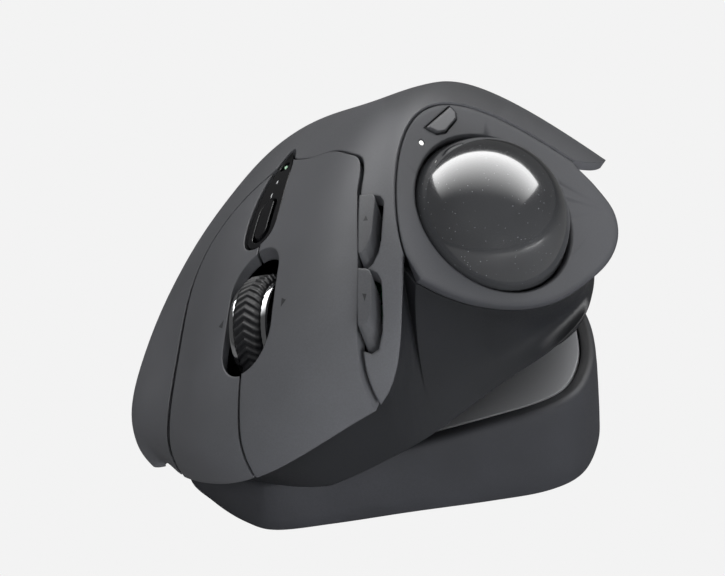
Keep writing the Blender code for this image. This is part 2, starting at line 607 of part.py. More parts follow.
def lower_housing():
    """Dark tub that carries everything: sockets, board, battery and hinge."""
    verts, faces = housing_sheet()
    ob = add("lower_housing", verts, faces, DARK, 0.55)
    bm = bmesh.new()
    bm.from_mesh(ob.data)
    bmesh.ops.remove_doubles(bm, verts=bm.verts, dist=2e-5)
    bmesh.ops.recalc_face_normals(bm, faces=bm.faces)
    bm.to_mesh(ob.data)
    bm.free()
    mod = ob.modifiers.new("wall", "SOLIDIFY")
    mod.thickness, mod.offset = WALL * MM, -1
    dg = bpy.context.evaluated_depsgraph_get()
    mesh = bpy.data.meshes.new_from_object(ob.evaluated_get(dg))
    ob.modifiers.clear()
    ob.data = mesh
    boolean(ob, floor_openings())


# --- base ----------------------------------------------------------------------------
BASE = [(34.5, 23.4), (26.5, 29.7), (18, 33.6), (11, 34.0), (0, 28.2), (-13.6, 20.0), (-27.8, 11.8), (-38.2, 5.0),
        (-43.6, -2.0), (-44.8, -11), (-43.0, -22), (-36.8, -37), (-25.4, -50.4), (-9, -57.5), (10, -57), (26, -48),
        (36, -32), (39.4, -12), (38.6, 8)]

def wedge_z(x):
    return 13.5 - WEDGE * x

def base_loop(d, z):
    o = inset(curve(BASE, 3, closed=True), d)
    return np.c_[o, [z(x) for x in o[:, 0]]]

def base_block():
    """Rubber wedge with drafted sides and a rounded top edge."""
    loops = [base_loop(1.2, lambda x: 0), base_loop(0, lambda x: 1.2),
             base_loop(1.0, lambda x: wedge_z(x) * 0.55), base_loop(2.0, lambda x: wedge_z(x) - 1.6),
             base_loop(2.5, lambda x: wedge_z(x) - 0.7), base_loop(3.6, lambda x: wedge_z(x) - 0.15)]
    verts, faces = rings(loops)
    ob = add("base_block", verts, faces, (0.028, 0.029, 0.031), 0.75, body=False)
    o = base_loop(5.2, lambda x: wedge_z(x) - 2.3)
    boolean(ob, [helper("tool", *rings([o, o + (0, 0, 30)]), body=False)])

def base_plate():
    """Steel plate let into the wedge: the hinge rides on it and the magnets grip it."""
    lo = base_loop(5.5, lambda x: wedge_z(x) - 2.0)
    mid = base_loop(5.5, lambda x: wedge_z(x) - 0.5)
    top = base_loop(6.0, lambda x: wedge_z(x))
    add("base_plate", *rings([lo, mid, top]), STEEL, 0.35, 1.0, body=False)



# --- scroll wheel -----------------------------------------------------------------------
TYRE_W, HUB_R, HUB_W = 5.8, 9.0, 8.6
PIVOT_Z = 14.6                 # side-to-side pivot of the wheel's cradle

def scroll_wheel():
    """Rubber tyre on a bright hub, turning on an axle in a cradle that rocks sideways."""
    h = TYRE_W / 2
    add("wheel_tyre", *lathe([(-h, HUB_R + 0.25), (-h, WHEEL_R - 0.9), (-h + 0.8, WHEEL_R), (h - 0.8, WHEEL_R),
                              (h, WHEEL_R - 0.9), (h, HUB_R + 0.25)], WHEEL, (1, 0, 0), 40), BLACK, 0.8)
    f, w = h + 0.2, HUB_W / 2
    add("wheel_hub", *lathe([(-w, 1.3), (-w, 9.9), (-w + 0.5, 10.4), (-f, 10.4), (-f, HUB_R), (f, HUB_R),
                             (f, 10.4), (w - 0.5, 10.4), (w, 9.9), (w, 1.3)], WHEEL, (1, 0, 0), 40), BRIGHT, 0.12, 1.0)
    add("wheel_axle", *rod(WHEEL, (1, 0, 0), 14.6, 1.0, 12), BRIGHT, 0.25, 1.0)

def wheel_cradle():
    """Forked plastic cradle with the axle's bearings, hung on a pin fore and aft."""
    x, y, z = WHEEL
    verts, faces = rings([[(x - 7.1, yy, z + 2.6), (x - 5.7, yy, z + 2.6), (x - 5.7, yy, 18.2), (x + 5.7, yy, 18.2),
                           (x + 5.7, yy, z + 2.6), (x + 7.1, yy, z + 2.6), (x + 7.1, yy, 16.4), (x + 1.8, yy, 16.4),
                           (x + 1.8, yy, PIVOT_Z - 1.6), (x - 1.8, yy, PIVOT_Z - 1.6), (x - 1.8, yy, 16.4),
                           (x - 7.1, yy, 16.4)] for yy in (y - 3.6, y + 3.6)])
    ob = add("wheel_cradle", verts, faces, DARK, 0.5)
    boolean(ob, [helper("tool", *rod(WHEEL, (1, 0, 0), 20, 1.3, 16)),
                 helper("tool", *rod((x, y, PIVOT_Z), (0, 1, 0), 20, 1.1, 16))])
    add("cradle_pin", *rod((x, y, PIVOT_Z), (0, 1, 0), 12.6, 0.8, 12), BRIGHT, 0.3, 1.0)
    top = PIVOT_Z + 2
    fork = ((y - 6.2, 12.3), (y + 6.2, 12.3), (y + 6.2, top), (y + 4.0, top),
            (y + 4.0, 12.65), (y - 4.0, 12.65), (y - 4.0, top), (y - 6.2, top))
    stand = rings([[(x + side, yy, zz) for yy, zz in fork] for side in (-2.6, 2.6)])
    ob = add("cradle_stand", *stand, DARK, 0.5)
    boolean(ob, [helper("tool", *rod((x, y, PIVOT_Z), (0, 1, 0), 20, 1.1, 16))])
    add("wheel_encoder", *block((x - 9.9, y, z - 1.5), (4.2, 8, 9)), (0.03, 0.05, 0.10), 0.4)


# --- inside the housing ------------------------------------------------------------------
def electronics():
    """Main board, its two switch posts, the battery and the charging socket."""
    add("main_board", *block((6.5, -8, 11.3), (39, 62, 1.4)), BOARD, 0.5)
    for name, key, low in (("left_switch_post", "left_switch", 12.3), ("right_switch_post", "right_switch", 12.3)):
        x, y, depth, size = SWITCHES[key]
        p, n = locate(x, y)
        c = p - n * (depth + size[2])
        top = c[2] - 3.6
        add(name, *block((c[0], c[1], (low + top) / 2), (5, 6, top - low)), DARK, 0.5)
    add("battery", *block((4, -47, 16.6), (22, 34, 5.2)), (0.35, 0.36, 0.38), 0.3)
    ob = add("charging_socket", *block(PORT, (8.6, 7.4, 3.2)), BRIGHT, 0.3, 1.0)
    boolean(ob, [helper("tool", *block(PORT + (0, 1.6, 0), (7.6, 7.0, 2.2)))])

PORT = np.array([19.0, 28.6, 10.8])
POWER = (-20.0, -36.0)
MAGNETS = ((31.4, -16.0), (-25.0, -21.0))
SCREWS = ((30.0, 6.0), (26.0, -48.0), (-18.0, -54.0), (-17.0, 14.0))
HINGES = (16.0, -60.0)

def facet_normal(x):
    """Downward normal of the underside facet at x."""
    slope = 0.765 * WEDGE if x > HINGE[0] else -WEDGE
    n = np.array([slope, 0, -1.0])
    return n / np.linalg.norm(n)

def underside():
    """Power slider, holding magnets, case screws and hinge bearings in the housing's floor."""
    x, y = POWER
    n = facet_normal(x)
    base = np.array([x, y, floor_z(x)])
    switch_on("power_switch", base, n, 0.3, (3.4, 4.2, 2.4), np.array([0, 0, 1.0]) + n)
    for k, (x, y) in enumerate(MAGNETS):
        n = facet_normal(x)
        c = np.array([x, y, floor_z(x)]) - n * (WALL + 0.5 + 1.2)
        add(("raised_magnet", "flat_magnet")[k], *rod(c, n, 2.4, 4.4, 20), STEEL, 0.3, 1.0)
    for k, (x, y) in enumerate(SCREWS):
        n = facet_normal(x)
        c = np.array([x, y, floor_z(x)])
        ob = add("case_screw_%d" % (k + 1), *lathe([(-7.0, 0), (-7.0, 0.7), (-2.0, 0.9), (-1.4, 1.9), (-0.4, 1.9),
                                                    (-0.4, 0)], c, n, 12), STEEL, 0.35, 1.0)
    for name, y in zip(("hinge_bearing_front", "hinge_bearing_rear"), HINGES):
        hx, hz = HINGE[0], HINGE[2]
        outline = [(-2.1, -1.6), (2.1, -1.6), (2.1, 1.5), (6, 1.5), (6, 4.4), (-6, 4.4), (-6, 1.5), (-2.1, 1.5)]
        ob = add(name, *rings([[(hx + a, yy, hz + b) for a, b in outline] for yy in (y - 6.8, y + 6.8)]), DARK, 0.5)
        boolean(ob, [helper("tool", *block((hx, y, hz - 0.2), (5, 4.4, 5.2))),
                     helper("tool", *rod((hx, y, hz), (0, 1, 0), 20, 1.2, 16))])

def floor_openings():
    """Cutters for everything that shows through the floor and the front wall."""
    tools = [rod(EJECT + (0, 0, -2), (0, 0, 1), 12, 4.5, 24), block(PORT + (0, 4, 0), (9.4, 16, 4.0))]
    x, y = POWER
    tools.append(block((x, y, floor_z(x)), (4.6, 8.4, 8)))
    tools += [rod((x, y, floor_z(x)), facet_normal(x), 8, 2.3, 14) for x, y in SCREWS]
    tools += [block((HINGE[0], y, 4), (5.0, 14.4, 6)) for y in HINGES]
    return [helper("tool", *t) for t in tools]

def hinge_lugs():
    """Steel lugs standing on the plate, each with a trunnion pin for the body's bearings."""
    n = np.array([WEDGE, 0, 1.0]) / math.hypot(1, WEDGE)
    t = np.array([n[2], 0, -n[0]])
    for name, y in zip(("hinge_lug_front", "hinge_lug_rear"), HINGES):
        c = np.array([HINGE_X, y, HINGE_Z])
        prof = [t * 1.5 * math.cos(a) + n * 1.5 * math.sin(a) for a in np.linspace(0, math.pi, 7)]
        prof += [-t * 1.5 - n * FACET, t * 1.5 - n * FACET]
        ob = add(name, *rings([[c + p + (0, dy, 0) for p in prof] for dy in (-1.7, 1.7)]), STEEL, 0.35, 1.0, body=False)
        boolean(ob, [helper("tool", *rod(c, (0, 1, 0), 12.4, 0.9, 12), body=False)], "UNION")


top_cover()
main_buttons()
small_keys()
switches()
scroll_wheel()
wheel_cradle()
electronics()
ball_panel()
precision_parts()
trackball()
ball_socket()
ball_bearings()
ball_sensor()
lower_housing()
underside()
base_block()
base_plate()
hinge_lugs()
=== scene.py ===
"""Right-hand trackball mouse, rolled 20 degrees on its hinge and standing on a wedge base."""
import math

import bmesh
import bpy
import numpy as np
from mathutils import Matrix, Vector
from mathutils.geometry import delaunay_2d_cdt


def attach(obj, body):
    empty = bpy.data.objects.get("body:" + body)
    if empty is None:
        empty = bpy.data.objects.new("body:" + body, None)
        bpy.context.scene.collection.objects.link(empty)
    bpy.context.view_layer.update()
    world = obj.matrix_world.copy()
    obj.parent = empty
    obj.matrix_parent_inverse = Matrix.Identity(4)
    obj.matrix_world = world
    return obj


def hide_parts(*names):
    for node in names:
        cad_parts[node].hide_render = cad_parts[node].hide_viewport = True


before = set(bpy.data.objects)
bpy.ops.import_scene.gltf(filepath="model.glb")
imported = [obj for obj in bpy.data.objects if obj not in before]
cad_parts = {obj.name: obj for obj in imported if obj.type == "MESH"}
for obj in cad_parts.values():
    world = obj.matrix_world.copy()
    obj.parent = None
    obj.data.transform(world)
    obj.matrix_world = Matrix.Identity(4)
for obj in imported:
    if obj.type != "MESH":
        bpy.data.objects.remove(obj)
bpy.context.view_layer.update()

# --- Palm shell ---------------------------------------------------------------------------
# One injection-moulded ABS cover from the ridge over the palm to the little finger, sprayed
# with a soft-touch coat. Clips and four screws from below hold it to the lower tub.
# Lengths are millimetres, with the mouse drawn lying flat: x to the little finger, y to the front.
MM = 0.001
SHELL = 2.0          # wall of the cover
SEAM = 0.75          # visible gap between the buttons and the cover
KEY_WELL = 0.9       # gap round the side keys
TILT = math.radians(20)
ROLL_LINE = np.array([30.0, 0.0, 8.0])
WEDGE = 0.2          # slope of the base
HINGE_AT = np.array([0.5, 0.0, 16.05])
BALL = np.array([-34.8, -2.0, 38.1])
BALL_AXIS = np.array([-0.775, 0.261, 0.576])
BALL_AXIS = BALL_AXIS / np.linalg.norm(BALL_AXIS)
PANEL_UP = 5.0       # the panel's plane above the middle of the ball
FRONT_LEFT, FRONT_RIGHT, REAR = 0.0106, 0.0215, 0.011    # how fast the front and rear edges sweep back

# y, front sweep, rear sweep, spine height, rise to the ridge, fall to the outer button edge,
# little-finger belt x and z, foot line x, thumb edge x and z
STATIONS = [
    (43.4, 1.00, 0.00, 13.4, 8.0, 2.6, 35.6, 10.6, 37.0, -24, 20.0),
    (44.8, 1.00, 0.00, 19.4, 9.0, 3.2, 40.2, 14.0, 39.8, -30, 26.0),
    (41.6, 1.00, 0.00, 24.4, 11.0, 3.4, 43.6, 16.0, 41.2, -34, 42.0),
    (34.0, 0.95, 0.00, 30.6, 12.5, 5.0, 46.0, 17.2, 42.4, -37, 52.0),
    (24.0, 0.85, 0.00, 37.2, 13.0, 6.4, 47.0, 18.0, 42.4, -40, 58.0),
    (11.0, 0.60, 0.00, 44.4, 12.2, 6.8, 46.4, 18.8, 41.4, -42, 56.0),
    (-3.0, 0.30, 0.00, 49.8, 11.0, 7.8, 45.2, 19.0, 40.4, -44, 51.0),
    (-18.0, 0.00, 0.00, 53.0, 8.4, 8.8, 44.0, 19.4, 39.6, -46.5, 42.5),
    (-33.0, 0.00, 0.10, 53.4, 3.8, 9.6, 42.6, 18.8, 38.8, -51.0, 33.2),
    (-48.0, 0.00, 0.30, 48.2, -0.6, 9.8, 40.2, 17.6, 37.4, -49.5, 30.0),
    (-62.0, 0.00, 0.60, 37.6, 0.0, 9.0, 37.2, 15.8, 35.0, -46.5, 26.0),
    (-74.0, 0.00, 0.85, 25.8, 1.2, 6.8, 34.4, 15.4, 31.6, -42.0, 22.0),
    (-82.0, 0.00, 1.00, 16.0, 0.8, 3.6, 30.2, 11.8, 29.6, -36.5, 18.0),
    (-84.4, 0.00, 1.00, 11.0, 0.8, 0.8, 27.0, 9.8, 28.4, -33.5, 16.0),
]


def roll(points, back=False):
    """The mouse is drawn lying flat and rolled ball side up about its hinge."""
    p = np.atleast_2d(np.asarray(points, float)) - ROLL_LINE
    c, s = math.cos(TILT), math.sin(TILT) * (-1 if back else 1)
    return np.stack([p[:, 0] * c + p[:, 2] * s, p[:, 1], p[:, 2] * c - p[:, 0] * s], 1) + ROLL_LINE


HINGE = roll(HINGE_AT, back=True)[0]


def floor_z(x):
    """Height of the underside, two facets meeting under the hinge."""
    ridge = HINGE[2] - 2.3 / math.cos(math.atan(WEDGE))
    return ridge + WEDGE * abs(x - HINGE[0]) * (1.0 if x < HINGE[0] else 0.765)


PANEL_X = np.cross((0, 0, 1), BALL_AXIS)
PANEL_X = PANEL_X / np.linalg.norm(PANEL_X)
PANEL_Y = np.cross(BALL_AXIS, PANEL_X)


def on_panel(p, q, up=0.0):
    """A point p to the rear and q up the thumb panel, measured from the ball's axis."""
    return BALL + BALL_AXIS * (PANEL_UP + up) + PANEL_X * p + PANEL_Y * q


def surface_net():
    """Control points of the cover: a row for each station, from the thumb edge round to the foot."""
    net = []
    for y, front, rear, z, rise, fall, bx, bz, fx, wx, wz in STATIONS:
        ridge, side, fz = z + rise, z - fall, floor_z(fx) + 0.5
        swell = 2.5 * min(1, (side - bz) / 6)
        rails = [(wx, wz), ((wx - 27) / 2 - 1, (wz + ridge) / 2 + 1.5 - 7 * rear * (1 - rear)),
                 (-27.5, ridge + 0.2 + 5.0 * front), (-22, ridge + 0.6), (-15, z + rise * 0.97),
                 (-6, z + rise * 0.62), (3, z + rise * 0.25), (12, z - fall * 0.06),
                 (21, z - fall * 0.42), (30, z - fall * 1.1), (bx - 2, (side + bz) / 2 + swell),
                 (bx, bz), ((bx + fx) / 2 + 0.6, (bz + fz) / 2), (fx, fz)]
        net.append([(x, y - front * (FRONT_LEFT if x < 10 else FRONT_RIGHT) * (min(x, 36) - 10) ** 2
                     + rear * REAR * (x - 3) ** 2, h) for x, h in rails])
    return np.array(net)


NET = surface_net()


def spline_basis(t, n, p=3):
    """Weights of n control points along a clamped B-spline."""
    knots = np.concatenate([np.zeros(p), np.linspace(0, 1, n - p + 1), np.ones(p)])
    t = np.clip(np.asarray(t, float), 0, 1 - 1e-12)
    w = ((t[:, None] >= knots[None, :-1]) & (t[:, None] < knots[None, 1:])).astype(float)
    for k in range(1, p + 1):
        left = np.maximum(knots[k:-1] - knots[:-k - 1], 1e-12)
        right = np.maximum(knots[k + 1:] - knots[1:-k], 1e-12)
        w = ((t[:, None] - knots[None, :-k - 1]) / left * w[:, :-1] * (knots[k:-1] > knots[:-k - 1])
             + (knots[None, k + 1:] - t[:, None]) / right * w[:, 1:] * (knots[k + 1:] > knots[1:-k]))
    return w


def upper(u, v):
    """Points of the whole cover surface, u from front to tail and v from thumb to foot."""
    rows = (spline_basis(u, len(NET)) @ NET.reshape(len(NET), -1)).reshape(len(u), -1, 3)
    return np.einsum("nj,njk->nk", spline_basis(v, NET.shape[1]), rows)


def past_edge(p):
    """Above zero where the cover stops for the thumb panel and the front corner.

    The corner's edge bows out from x -17 low down to x -27.5 at 45.7 mm up. Behind y 21 it runs off
    sideways, and only the panel's plane cuts the cover.
    """
    t = np.clip((p[:, 2] - 21.0) / 24.7, 0, 1)
    edge = -17.0 - 10.5 * (t * (2 - t)) ** 0.62 - np.clip(21 - p[:, 1], 0, 40) * 2.5
    return np.maximum((p - on_panel(0, 0)) @ BALL_AXIS, edge - p[:, 0])


EDGE_U = np.linspace(0, 1, 1500)
low_v, high_v = np.zeros(1500), np.full(1500, 0.62)
untrimmed = past_edge(upper(EDGE_U, low_v)) < 0
for _ in range(34):
    middle = (low_v + high_v) / 2
    outside = past_edge(upper(EDGE_U, middle)) > 0
    low_v, high_v = np.where(outside, middle, low_v), np.where(outside, high_v, middle)
EDGE_V = np.where(untrimmed, 0.0, high_v)


def surface_normal(u, v, h=2e-3):
    """Outward direction of the cover, from points a small step h apart."""
    du = upper(np.clip(u + h, 0, 1), v) - upper(np.clip(u - h, 0, 1), v)
    dv = upper(u, np.clip(v + h, 0, 1)) - upper(u, np.clip(v - h, 0, 1))
    n = np.cross(du, dv)
    return n / np.maximum(np.linalg.norm(n, axis=1)[:, None], 1e-9)


def trimmed(u, t, depth=0.0):
    """Cover surface, t from 0 at the thumb-side edge to 1 at the foot, moved in by depth."""
    edge = np.interp(u, EDGE_U, EDGE_V)
    v = edge + (1 - edge) * t
    p = upper(u, v)
    if depth:
        thin = 1 - 0.5 * np.clip((t - 0.85) / 0.15, 0, 1)
        p = p - surface_normal(u, v) * (depth * thin)[:, None]
    return p


def slab(us, ts, outer, inner):
    """Closed wall following the cover between two depths."""
    ug, tg = (g.ravel() for g in np.meshgrid(us, ts, indexing="ij"))
    nu, nt = len(us), len(ts)
    n = nu * nt
    faces = []
    for i in range(nu - 1):
        for j in range(nt - 1):
            a, b, c, d = i * nt + j, i * nt + j + 1, (i + 1) * nt + j + 1, (i + 1) * nt + j
            faces += [(a, b, c, d), (a + n, d + n, c + n, b + n)]
    rim = ([i * nt for i in range(nu)] + [(nu - 1) * nt + j for j in range(1, nt)]
           + [i * nt + nt - 1 for i in range(nu - 2, -1, -1)] + list(range(nt - 2, 0, -1)))
    faces += [(a, b, b + n, a + n) for a, b in zip(rim, rim[1:] + rim[:1])]
    return np.concatenate([trimmed(ug, tg, outer), trimmed(ug, tg, inner)]), faces


def linear(code):
    """sRGB hex to linear RGBA."""
    c = np.array([int(code[i:i + 2], 16) for i in (1, 3, 5)]) / 255
    c = np.where(c <= 0.04045, c / 12.92, ((c + 0.055) / 1.055) ** 2.4)
    return (*c, 1.0)


def add_node(tree, kind, inputs=None, **settings):
    """One shader node; an input is a value or another node's socket."""
    made = tree.nodes.new(kind)
    for key, value in settings.items():
        setattr(made, key, value)
    for key, value in (inputs or {}).items():
        if isinstance(value, bpy.types.NodeSocket):
            tree.links.new(value, made.inputs[key])
        else:
            made.inputs[key].default_value = value
    return made


def moulded_plastic(name, deep, pale, rough, grain, relief, edge, specular=0.5):
    """Moulded plastic: two close tones, a texture of that grain and softly broken edges, in mm."""
    m = bpy.data.materials.new(name)
    m.use_nodes = True
    t = m.node_tree
    shader = t.nodes["Principled BSDF"]
    where = add_node(t, "ShaderNodeTexCoord").outputs["Object"]
    broad = add_node(t, "ShaderNodeTexNoise", {"Vector": where, "Scale": 1 / (22 * MM), "Detail": 2.0})
    fine = add_node(t, "ShaderNodeTexNoise", {"Vector": where, "Scale": 1 / (grain * MM), "Detail": 3.0})
    both = add_node(t, "ShaderNodeMath", {0: broad.outputs["Fac"], 1: fine.outputs["Fac"]},
                    operation="MULTIPLY")
    tone = add_node(t, "ShaderNodeValToRGB", {"Fac": both.outputs[0]})
    tone.color_ramp.elements[0].position, tone.color_ramp.elements[0].color = 0.14, linear(deep)
    tone.color_ramp.elements[1].position, tone.color_ramp.elements[1].color = 0.38, linear(pale)
    t.links.new(tone.outputs["Color"], shader.inputs["Base Color"])
    gloss = add_node(t, "ShaderNodeMapRange", {"Value": fine.outputs["Fac"], "From Min": 0.3,
                                               "From Max": 0.7, "To Min": rough - 0.05,
                                               "To Max": rough + 0.05})
    t.links.new(gloss.outputs["Result"], shader.inputs["Roughness"])
    shader.inputs["Specular IOR Level"].default_value = specular
    soft = add_node(t, "ShaderNodeBevel", {"Radius": edge * MM}, samples=5)
    bump = add_node(t, "ShaderNodeBump", {"Strength": 0.5, "Distance": relief * MM,
                                          "Height": fine.outputs["Fac"],
                                          "Normal": soft.outputs["Normal"]})
    t.links.new(bump.outputs["Normal"], shader.inputs["Normal"])
    return m


# Soft-touch coated ABS: dark graphite, nearly matt. The coat's grain is about 0.1 mm and is
# drawn at 0.35 mm so that it shows.
soft_touch = moulded_plastic("soft_touch_ABS", "#434447", "#4b4c50", 0.52, 0.35, 0.02, 0.45)


def solid(name, verts, faces, finish=None, mouse=True):
    """One closed mesh from millimetre points; pieces of the mouse are rolled into place."""
    points = roll(verts) if mouse else np.asarray(verts, float)
    mesh = bpy.data.meshes.new(name)
    mesh.from_pydata((points * MM).tolist(), [], [tuple(int(i) for i in f) for f in faces])
    bm = bmesh.new()
    bm.from_mesh(mesh)
    bmesh.ops.remove_doubles(bm, verts=bm.verts, dist=1e-6)
    bmesh.ops.recalc_face_normals(bm, faces=bm.faces)
    bm.to_mesh(mesh)
    bm.free()
    made = bpy.data.objects.new(name, mesh)
    bpy.context.scene.collection.objects.link(made)
    if finish:
        mesh.materials.append(finish)
    return made


def cut(piece, tools, operation="DIFFERENCE"):
    """Cuts with each tool in turn, then throws the tools away."""
    for tool in tools:
        step = piece.modifiers.new("cut", "BOOLEAN")
        step.operation, step.solver, step.object = operation, "EXACT", tool
        ready = piece.evaluated_get(bpy.context.evaluated_depsgraph_get())
        mesh = bpy.data.meshes.new_from_object(ready)
        piece.modifiers.clear()
        piece.data = mesh
        bpy.data.objects.remove(tool, do_unlink=True)
    return piece


def place(piece, body, slot, *nodes, sharp=32):
    """Smooths all but the sharp corners, then puts the piece on its body."""
    for polygon in piece.data.polygons:
        polygon.use_smooth = True
    piece.data.set_sharp_from_angle(angle=math.radians(sharp))
    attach(piece, body)
    if nodes:
        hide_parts(*nodes)
    return piece


def rings(loops, cap=True):
    """Faces between stacked closed loops of equal length."""
    n = len(loops[0])
    faces = [(k * n + i, k * n + (i + 1) % n, (k + 1) * n + (i + 1) % n, (k + 1) * n + i)
             for k in range(len(loops) - 1) for i in range(n)]
    if cap:
        faces += [tuple(range(n))[::-1], tuple(range((len(loops) - 1) * n, len(loops) * n))]
    return np.concatenate([np.asarray(l, float) for l in loops]), faces


def curve(points, step, closed=False):
    """Smooth curve through chosen points."""
    p = [np.asarray(q, float) for q in points]
    n = len(p)
    out = []
    for i in range(n if closed else n - 1):
        a, b = p[i], p[(i + 1) % n]
        before = p[i - 1] if closed or i > 0 else 2 * a - b
        after = p[(i + 2) % n] if closed or i + 2 < n else 2 * b - a
        for k in range(step):
            t = k / step
            out.append(0.5 * (2 * a + (b - before) * t + (2 * before - 5 * a + 4 * b - after) * t * t
                              + (3 * a - before - 3 * b + after) * t ** 3))
    return np.array(out if closed else out + [p[-1]])


def inset(outline, d):
    """The outline moved in by d, or out where d is below zero."""
    o = np.asarray(outline, float)
    e = np.roll(o, -1, 0) - o
    e = e / np.linalg.norm(e, axis=1)[:, None]
    area = np.sum(o[:, 0] * np.roll(o[:, 1], -1) - np.roll(o[:, 0], -1) * o[:, 1])
    nrm = np.c_[-e[:, 1], e[:, 0]] * (1 if area > 0 else -1)
    m = nrm + np.roll(nrm, 1, 0)
    return o + m / np.maximum(np.sum(m * m, 1)[:, None] / 2, 0.5) * d


def upright(outline, grow):
    """Cutting prism over a plan outline of the flat mouse."""
    o = inset(outline, -grow)
    return solid("tool", *rings([np.c_[o, np.full(len(o), z)] for z in (2, 90)]))


def slot_outline(cx, cy, half_w, half_l, n=16):
    """Long slot with round ends, in plan."""
    a = np.linspace(0, math.pi, 2 * n + 1)
    top = np.c_[cx + half_w * np.cos(a), cy + half_l - half_w + half_w * np.sin(a)]
    low = np.c_[cx - half_w * np.cos(a), cy - half_l + half_w - half_w * np.sin(a)]
    return np.concatenate([top, low])


SPLIT_X = 7.8
WHEEL_SLOT = slot_outline(7.2, 22.2, 6.1, 11.2)
STRIP = curve([(8.6, 8.6), (5.6, 7.4), (4.6, 3.5), (5.0, -4), (6.0, -12), (8.6, -19),
               (11.4, -12), (12.8, -4), (13.0, 3.5), (11.8, 7.2)], 6, closed=True)
LEFT_BACK = curve([(5.2, -13), (0, -9.6), (-7, -6.2), (-13, -1.4), (-16.2, 1.2), (-17.4, 4.4),
                   (-17.6, 9)], 6)
LEFT_SIDE = curve([(-17.6, 9), (-18.5, 15), (-19.2, 22), (-19.2, 29), (-18.2, 37), (-15.6, 46)], 6)
RIGHT_BACK = curve([(12.4, -12.5), (18, -9), (24.2, -3.6), (27.4, 1.4), (28.9, 8), (29.2, 16)], 6)
LEFT = np.concatenate([[(SPLIT_X, 60), (SPLIT_X, -16.0)], LEFT_BACK, LEFT_SIDE[1:], [(-15.6, 60)]])
RIGHT = np.concatenate([[(SPLIT_X, -16.0), (SPLIT_X, 60), (29.2, 60)], RIGHT_BACK[::-1]])
FRONT_KEY = [(-19.1, 23.6), (-21.2, 23.6), (-22.0, 23.9), (-22.5, 24.6), (-22.6, 25.6), (-22.5, 28.4),
             (-22.1, 30.0), (-21.2, 31.4), (-20.2, 32.0), (-19.0, 32.2)]
REAR_KEY = [(-18.2, 11.0), (-20.9, 11.0), (-21.8, 11.3), (-22.3, 12.0), (-22.4, 13.0), (-22.3, 18.2),
            (-21.9, 19.8), (-21.0, 21.2), (-20.2, 21.8), (-19.1, 22.0)]

palm = solid("palm_shell", *slab(np.linspace(0, 1, 150), np.linspace(0, 1, 130), 0.0, SHELL), soft_touch)
cut(palm, [upright(o, SEAM / 2) for o in (LEFT, STRIP)] + [upright(RIGHT, SEAM)]
    + [upright(o, KEY_WELL) for o in (FRONT_KEY, REAR_KEY)])
place(palm, "mouse_body", "graphite_shell", "top_cover")


# --- Main buttons -------------------------------------------------------------------------
# Two long covers of the same coated ABS, each flexing on a thin web at its back edge. They
# stand up to 0.4 mm above the palm shell and meet in a slit in line with the wheel.
GRID_U, GRID_T = (g.ravel() for g in np.meshgrid(np.linspace(0, 1, 140), np.linspace(0, 1, 140),
                                                 indexing="ij"))
GRID_P = trimmed(GRID_U, GRID_T)


def from_cover(name, outline, holes, finish, outer, inner=SHELL, fine=90):
    """The part of the cover inside an outline, less its holes, with half gaps all round."""
    o = np.asarray(outline)
    near = np.all((GRID_P[:, :2] > o.min(0) - 2.5) & (GRID_P[:, :2] < o.max(0) + 2.5), axis=1)
    us = np.linspace(max(0, GRID_U[near].min()), min(1, GRID_U[near].max()), fine)
    ts = np.linspace(max(0, GRID_T[near].min()), min(1, GRID_T[near].max()), fine)
    piece = solid(name, *slab(us, ts, outer, inner), finish)
    cut(piece, [upright(outline, -SEAM / 2)], "INTERSECT")
    return cut(piece, [upright(h, SEAM / 2) for h in holes])


for name, outline, proud in (("left", LEFT, 0.4), ("right", RIGHT, 0.15)):
    piece = from_cover(name + "_main_button", outline, [WHEEL_SLOT, STRIP], soft_touch, -proud, fine=110)
    place(piece, name + "_button", "graphite_shell", name + "_button")


# --- Side keys and printed arrows ---------------------------------------------------------
# Two raised tabs beside the left button, moulded in ABS a shade darker, each on its own
# spring leg. The small arrows are pad-printed in dark ink a few hundredths of a mm thick.
key_plastic = moulded_plastic("key_ABS", "#3a3b3e", "#434447", 0.46, 0.35, 0.015, 0.4)
ink = moulded_plastic("pad_printed_ink", "#1b1c1e", "#232427", 0.6, 0.3, 0.005, 0.05)


def printed(name, outline, lift, finish, body, slot):
    """A thin printed mark lying on the cover at that height."""
    o = np.asarray(outline, float)
    piece = from_cover(name, o, [], finish, -lift - 0.04, -lift + 0.15, fine=14)
    return place(piece, body, slot)


for name, outline, arrow in (
        ("forward", FRONT_KEY, [(-20.8, 29.2), (-19.8, 27.2), (-21.8, 27.2)]),
        ("back", REAR_KEY, [(-20.5, 14.6), (-21.6, 16.6), (-19.4, 16.6)])):
    piece = from_cover(name + "_key", outline, [], key_plastic, -1.6)
    place(piece, name + "_button", "key_shell", name + "_button")
    printed(name + "_arrow", arrow, 1.6, ink, name + "_button", "key_shell")
printed("tilt_left_mark", [(-1.2, 23.4), (-1.2, 26.2), (-3.4, 24.8)], 0.4, ink, "left_button",
        "graphite_shell")
printed("tilt_right_mark", [(14.4, 20.5), (16.6, 21.9), (14.4, 23.3)], 0.15, ink, "right_button",
        "graphite_shell")


